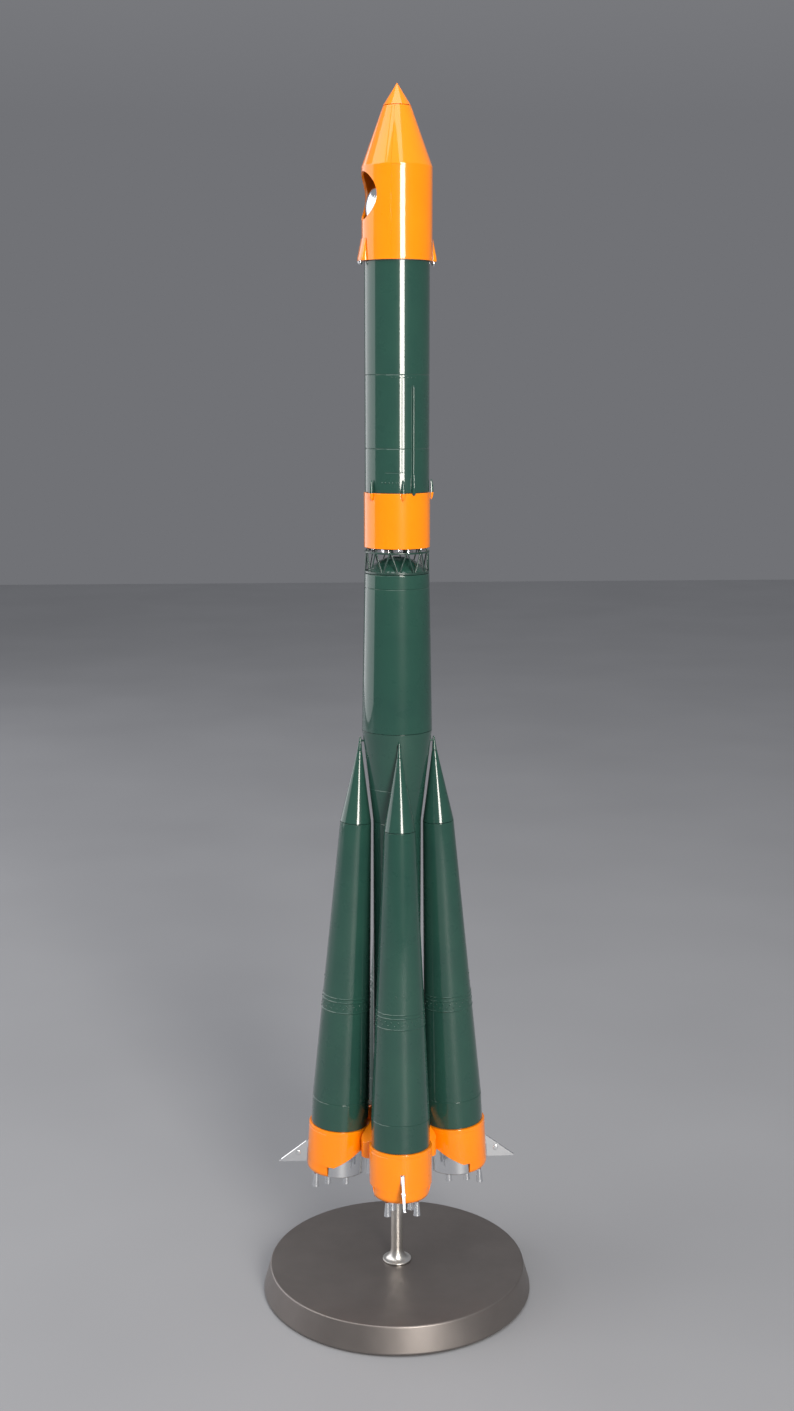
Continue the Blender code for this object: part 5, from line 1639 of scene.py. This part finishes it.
    def build_raceway(self) -> None:
        """Cable duct with a fatter pod at its lower end."""
        inner = self.stage_radius + GAP
        over = self.band.reach + GAP
        low = self.band.top
        top = Solid("raceway").top
        stations = [
            (low - WALL, over, 0.55 * MM, 0.2 * MM), (low - 0.5 * WALL, over, 0.9 * MM, 0.6 * MM),
            (low, over, 1.1 * MM, 0.95 * MM), (low + 2 * GAP, over, 1.15 * MM, 1.1 * MM),
            (low + 3 * GAP, inner, 1.15 * MM, 1.65 * MM), (low + 4 * MM, inner, 1.2 * MM, 1.8 * MM),
            (low + 8 * MM, inner, 1.1 * MM, 1.6 * MM), (low + 9.5 * MM, inner, 0.9 * MM, 1.25 * MM),
            (low + 11 * MM, inner, 0.8 * MM, 0.95 * MM), (top - 2 * MM, inner, 0.8 * MM, 0.95 * MM),
            (top - 0.8 * MM, inner, 0.75 * MM, 0.7 * MM), (top, inner, 0.6 * MM, 0.2 * MM)]
        duct = self.fairlead("cable_duct", self.raceway_azimuth, stations)
        show(duct, Slot.GREEN, self.body, "raceway")

    def build_joint_pods(self) -> None:
        """Teardrop fittings over the joint: green above it and orange below it."""
        inner = self.band.reach + GAP
        for name, azimuth in self.pods:
            solid = Solid(f"joint_pod_{name}")
            joint = self.band.top
            rise, half = 1.5 * MM, 1.2 * MM
            upper, lower = [], []
            steps = 10
            for step in range(steps + 1):
                share = step / steps
                full = math.sqrt(max(0.0, 1 - share ** 2)) if share < 1 else 0.0
                full = max(full, 0.12)
                upper.append((joint + 0.02 * MM + share * (solid.top - joint), inner,
                              half * full ** 1.3, rise * full))
                lower.append((joint - share * (joint - solid.bottom), inner, half * full,
                              rise * full))
            show(self.fairlead(f"joint_fitting_{name}", azimuth, upper), Slot.GREEN, self.body,
                 f"joint_pod_{name}")
            show(self.fairlead(f"joint_fitting_{name}_lower", azimuth, lower[::-1]), Slot.ORANGE,
                 self.body)

    def build_deck(self) -> None:
        """Silver bulkhead that seats the fairing."""
        low = self.tank.top + GAP
        plug = self.stage_radius - WALL - GAP
        rim = self.deck.reach
        floor = low + 2 * WALL
        outline = soft([
            (0.0, low), (plug - WALL, low), (plug - WALL, self.deck.bottom),
            (plug, self.deck.bottom, 0.2 * MM), (plug, low), (rim, low, 0.2 * MM),
            (rim, self.deck.top, 0.3 * MM), (rim - WALL, self.deck.top, 0.3 * MM),
            (rim - WALL, floor), (0.0, floor)])
        show(lathe("payload_bulkhead", outline, 144), Slot.SILVER, self.body, "payload_deck")

    def build_module(self) -> None:
        """Double cone, dished on top for the capsule, with ribs round its waist."""
        low = self.module.bottom
        centre = (self.capsule.bottom + self.capsule.top) / 2
        dish = self.capsule.reach + GAP
        rim_angle = math.radians(44)
        steps = 14
        arc = [(dish * math.sin(rim_angle * i / steps),
                centre - dish * math.cos(rim_angle * i / steps)) for i in range(steps + 1)]
        rim, rim_z = arc[-1]
        waist = self.module.reach
        outline = soft([*arc, (rim + WALL / 2, rim_z, 0.2 * MM),
                        (waist, (low + 2 * rim_z) / 3, 0.5 * MM),
                        (waist, (2 * low + rim_z) / 3, 0.5 * MM), (rim, low, 0.2 * MM), (0.0, low)])

        def ribs(radius: float, azimuth: float, _height: float) -> float:
            """Sinks shallow channels between the ribs."""
            return -0.35 * MM if radius > rim + WALL and azimuth % 15.0 < 8.0 else 0.0

        show(lathe("service_section", outline, 144, relief=ribs), Slot.SILVER, self.body,
             "service_module")

    def build_capsule(self) -> None:
        """Chrome ball with the groove of its hatch."""
        radius = self.capsule.reach
        centre = (self.capsule.bottom + self.capsule.top) / 2
        steps = 72
        outline = [(radius * math.sin(math.pi * i / steps),
                    radius * math.cos(math.pi * i / steps)) for i in range(steps + 1)]
        outline[0], outline[-1] = (0.0, radius), (0.0, -radius)

        def hatch(at_radius: float, azimuth: float, height: float) -> float:
            """Engraves a hatch ring round a side axis."""
            point = polar(at_radius, azimuth, height)
            away = math.degrees(point.angle(polar(1.0, 191.0, 0.25)))
            return -0.12 * MM if 27.0 < away < 29.0 else 0.0

        made = lathe("capsule", outline, 144, relief=hatch)
        made.data.transform(Matrix.Translation((0, 0, centre)))
        show(made, Slot.CHROME, self.body, "capsule_ball")


# ---------------------------------------------------------------- fairing


@dataclass
class Fairing:
    """Orange fairing with its porthole, nose cap, foot pods and their screws."""

    radius: float = 19.75 * MM
    cone_radius: float = 7.85 * MM
    seat: float = 6.3 * MM
    cylinder: float = 50.8 * MM
    ledge_bore: float = 17.9 * MM
    porthole: float = 13.0 * MM
    porthole_rise: float = 35.1 * MM
    porthole_azimuth: float = 191.3
    seam_azimuth: float = -102.9
    seam_depth: float = 0.14 * MM
    pod_half_angle: float = 18.0
    pod_reach: float = 22.3 * MM
    screw_hole: float = 0.75 * MM
    pods: tuple[tuple[str, float], ...] = (("left", 191.3), ("right", 11.3))
    body: str = Body.FAIRING.value

    def __post_init__(self) -> None:
        """Measures the solids."""
        self.shell = Solid("fairing_shell")
        self.cap = Solid("nose_cap")
        self.foot = self.shell.bottom
        self.shoulder = self.foot - GAP + self.cylinder

    def build(self) -> None:
        """Makes every piece of the fairing."""
        self.build_shell()
        self.build_cap()
        for name, azimuth in self.pods:
            self.build_pod(name, azimuth)
            self.build_screw(name, azimuth)

    def build_shell(self) -> None:
        """Cylinder and cone with a seam down one side and a round porthole."""
        cap_z = self.shell.top
        taper = (self.radius - self.cone_radius) / (cap_z - self.shoulder)
        slant = WALL * math.hypot(1.0, taper)
        bore = self.radius - WALL
        seat = self.foot - GAP + self.seat
        ledge = self.ledge_bore
        lid = cap_z - 2 * WALL
        hole = self.cone_radius - 2 * WALL
        shoulder_line = self.shoulder - 0.8 * MM
        outline = soft([
            (self.radius, self.foot + 0.3 * MM), (self.radius, shoulder_line - 0.3 * MM),
            (self.radius, shoulder_line), (self.radius, shoulder_line + 0.3 * MM),
            (self.radius, self.shoulder, 0.25 * MM), (self.cone_radius, cap_z, 0.12 * MM),
            (hole, cap_z), (hole, lid), (self.radius - taper * (lid - self.shoulder) - slant, lid),
            (bore, self.shoulder - (slant - WALL) / taper), (bore, seat + 2 * WALL),
            (ledge, seat + 1.4 * WALL), (ledge, seat), (bore, seat), (bore, self.foot),
            (self.radius - 0.2 * MM, self.foot)])
        width = 0.4
        stops = [self.seam_azimuth + k * width for k in (-2, -1, 0, 1, 2)]

        def seam(radius: float, azimuth: float, height: float) -> float:
            """Engraves the join of the two halves and a short line across it at the shoulder."""
            angle = (azimuth - self.seam_azimuth + 180.0) % 360.0 - 180.0
            if radius < bore + 0.5 * MM and height < self.shoulder:
                return 0.0
            if abs(angle) < 0.5 * width:
                return -self.seam_depth
            if abs(height - shoulder_line) < 0.05 * MM and 0.0 < angle < 16.0:
                return -self.seam_depth
            return 0.0

        shell = lathe("fairing_halves", outline, 224, stops, seam)
        height = self.foot - GAP + self.porthole_rise
        window = bar("window", Vector((self.radius / 2, 0, height)),
                     Vector((1.5 * self.radius, 0, height)), self.porthole, segments=96)
        window.data.transform(about_z(self.porthole_azimuth))
        show(cut(shell, window), Slot.ORANGE, self.body, "fairing_shell")

    def build_cap(self) -> None:
        """Pointed cap with its stub in the cone."""
        low = self.shell.top + GAP
        stub = self.cone_radius - 2 * WALL - GAP
        base = self.shell.top - 2 * WALL
        tip = self.cap.top
        outline = soft([(0.0, tip), (0.25 * MM, tip - 0.06 * MM), (0.42 * MM, tip - 0.4 * MM),
                        (self.cone_radius, low, 0.1 * MM), (stub, low), (stub, base, 0.3 * MM),
                        (0.0, base)])
        show(lathe("nose_point", outline, 144), Slot.ORANGE, self.body, "nose_cap")

    def build_pod(self, name: str, azimuth: float) -> None:
        """Ramp-shaped pod at the fairing's foot, with rounded flanks.

        Args:
            name: Which pod.
            azimuth: Azimuth of its middle in degrees.
        """
        solid = Solid(f"fairing_pod_{name}")
        inner = self.radius + GAP
        reach = self.pod_reach
        length = solid.top - solid.bottom
        profile = [(0.0, 0.94), (0.03, 1.0), (0.12, 1.0), (0.2, 0.93), (0.35, 0.76), (0.5, 0.59),
                   (0.65, 0.42), (0.8, 0.26), (0.92, 0.14), (1.0, 0.06)]
        rings = []
        steps = 28
        for share, rise in profile:
            height = solid.bottom + share * length
            half = self.pod_half_angle * (1.0 - 0.12 * share)
            outer, back = [], []
            for step in range(steps + 1):
                across = 2 * step / steps - 1
                flank = (1 - abs(across) ** 6) ** 0.5
                out = inner + (reach - inner) * rise * max(0.15, flank)
                outer.append(polar(out, azimuth + half * across, height))
                back.append(polar(inner, azimuth + half * across, height))
            rings.append([*outer, *back[::-1]])
        pod = loft(f"foot_fairing_{name}", rings, 50.0)
        hole = bar("hole", polar(self.screw_radius, azimuth, solid.bottom - WALL),
                   polar(self.screw_radius, azimuth, solid.bottom + 3 * WALL + GAP),
                   self.screw_hole, segments=24)
        show(cut(pod, hole), Slot.ORANGE, self.body, f"fairing_pod_{name}")

    @property
    def screw_radius(self) -> float:
        """Distance of the pods' screws from the axis."""
        return (self.radius + GAP + self.pod_reach) / 2

    def build_screw(self, name: str, azimuth: float) -> None:
        """Round-headed chrome screw under a pod, with a cross slot.

        Args:
            name: Which screw.
            azimuth: Azimuth of its middle in degrees.
        """
        solid = Solid(f"pod_screw_{name}")
        head = self.foot - GAP
        size, stem = 1.3 * MM, 0.45 * MM
        steps = 8
        dome = [(size * math.sin(math.pi / 2 * i / steps),
                 solid.bottom + (head - 0.4 * WALL - solid.bottom)
                 * (1 - math.cos(math.pi / 2 * i / steps))) for i in range(steps + 1)]
        outline = [*dome, (size, head), (stem, head), (stem, solid.top), (0.0, solid.top)]
        screw = lathe(f"foot_screw_{name}", outline, 40)
        bars = [bar("slot", Vector((-0.8 * MM * x, -0.8 * MM * (1 - x), solid.bottom)),
                    Vector((0.8 * MM * x, 0.8 * MM * (1 - x), solid.bottom)), 0.22 * MM,
                    segments=8) for x in (0, 1)]
        cut(screw, *bars)
        screw.data.transform(about_z(azimuth) @ Matrix.Translation((self.screw_radius, 0, 0)))
        show(screw, Slot.CHROME, self.body, f"pod_screw_{name}")


# ---------------------------------------------------------------- studio


@dataclass(frozen=True)
class SoftLight:
    """Rectangular studio light aimed at a point on the rocket's axis."""

    name: str
    azimuth: float
    distance: float
    height: float
    width: float
    tall: float
    watts: float
    colour: str = "#ffffff"
    aim: float = 0.4

    def place(self) -> None:
        """Adds the light to the scene."""
        data = bpy.data.lights.new(self.name, "AREA")
        data.shape = "RECTANGLE"
        data.size, data.size_y = self.width, self.tall
        data.energy = self.watts
        data.color = linear(self.colour)[:3]
        lamp = bpy.data.objects.new(self.name, data)
        lamp.location = polar(self.distance, self.azimuth, self.height)
        towards = Vector((0, 0, self.aim)) - lamp.location
        lamp.rotation_euler = towards.to_track_quat("-Z", "Y").to_euler()
        bpy.context.scene.collection.objects.link(lamp)


@dataclass(frozen=True)
class Studio:
    """Camera, pale floor, room tone and soft lights."""

    camera_azimuth: float = -93.5
    camera_distance: float = 0.977
    camera_height: float = 0.546
    camera_pitch: float = 10.4
    lens: float = 43.37
    floor_reach: float = 4.0
    floor_tones: tuple[str, str] = ("#939498", "#98999d")
    floor_mottle: float = 0.25
    room_tones: tuple[str, str] = ("#717276", "#a4a5a8")
    lights: tuple[SoftLight, ...] = (
        SoftLight("window strip", -75.5, 2.0, 1.03, 0.56, 1.3, 52.0, "#fffaf2", aim=1.03),
        SoftLight("rear left softbox", 152.0, 1.9, 0.75, 2.4, 1.5, 18.0, "#fdfcff"),
        SoftLight("front overhead softbox", -104.0, 0.55, 2.0, 1.3, 1.0, 12.0, aim=0.0),
        SoftLight("left overhead softbox", -170.0, 1.5, 1.5, 1.2, 1.2, 11.0, "#fffdf8", aim=0.3),
    )

    def build(self) -> None:
        """Sets up the camera first, then the floor, the room and the lights."""
        self.place_camera()
        self.lay_floor()
        self.tone_room()
        bpy.context.scene.view_settings.view_transform = "Standard"
        for light in self.lights:
            light.place()
        LOG.info("studio: %d lights", len(self.lights))

    def place_camera(self) -> None:
        """Adds the camera, level across and pitched down towards the rocket."""
        data = bpy.data.cameras.new("camera")
        data.lens = self.lens
        data.sensor_width = 36.0
        camera = bpy.data.objects.new("camera", data)
        camera.location = polar(self.camera_distance, self.camera_azimuth, self.camera_height)
        camera.rotation_euler = (math.radians(90.0 - self.camera_pitch), 0.0,
                                 math.radians(self.camera_azimuth + 90.0))
        bpy.context.scene.collection.objects.link(camera)
        bpy.context.scene.camera = camera

    def lay_floor(self) -> None:
        """Lays a pale, faintly mottled floor."""
        bm = bmesh.new()
        bmesh.ops.create_grid(bm, x_segments=8, y_segments=8, size=self.floor_reach)
        floor = new_piece("floor", bm)
        look = Look("Pale studio floor", 0.0)
        look.set({"Roughness": 0.6})
        look.tone(self.floor_tones, look.noise(self.floor_mottle, Detail=2.0))
        floor.data.materials.append(look.material)

    def tone_room(self) -> None:
        """Gives the room a grey that is darker low down and lighter overhead."""
        world = bpy.data.worlds.new("studio room")
        world.use_nodes = True
        tree = world.node_tree
        background = tree.nodes["Background"]
        direction = add_node(tree, "ShaderNodeTexCoord").outputs["Generated"]
        height = add_node(tree, "ShaderNodeSeparateXYZ", None, {"Vector": direction})
        ramp = add_node(tree, "ShaderNodeValToRGB", None, {"Fac": height.outputs["Z"]})
        ramp_between(ramp, 0.15, 0.75, self.room_tones)
        tree.links.new(ramp.outputs["Color"], background.inputs["Color"])
        background.inputs["Strength"].default_value = 1.0
        bpy.context.scene.world = world


def main() -> None:
    """Builds the studio and the model, in order."""
    logging.basicConfig(level=logging.INFO, format="%(message)s")
    for part in (Studio(), Stand(), Core(), BoosterPattern(), UpperStage(), Fairing()):
        LOG.info("building %s", type(part).__name__)
        part.build()
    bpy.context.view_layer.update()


if __name__ == "__main__":
    main()
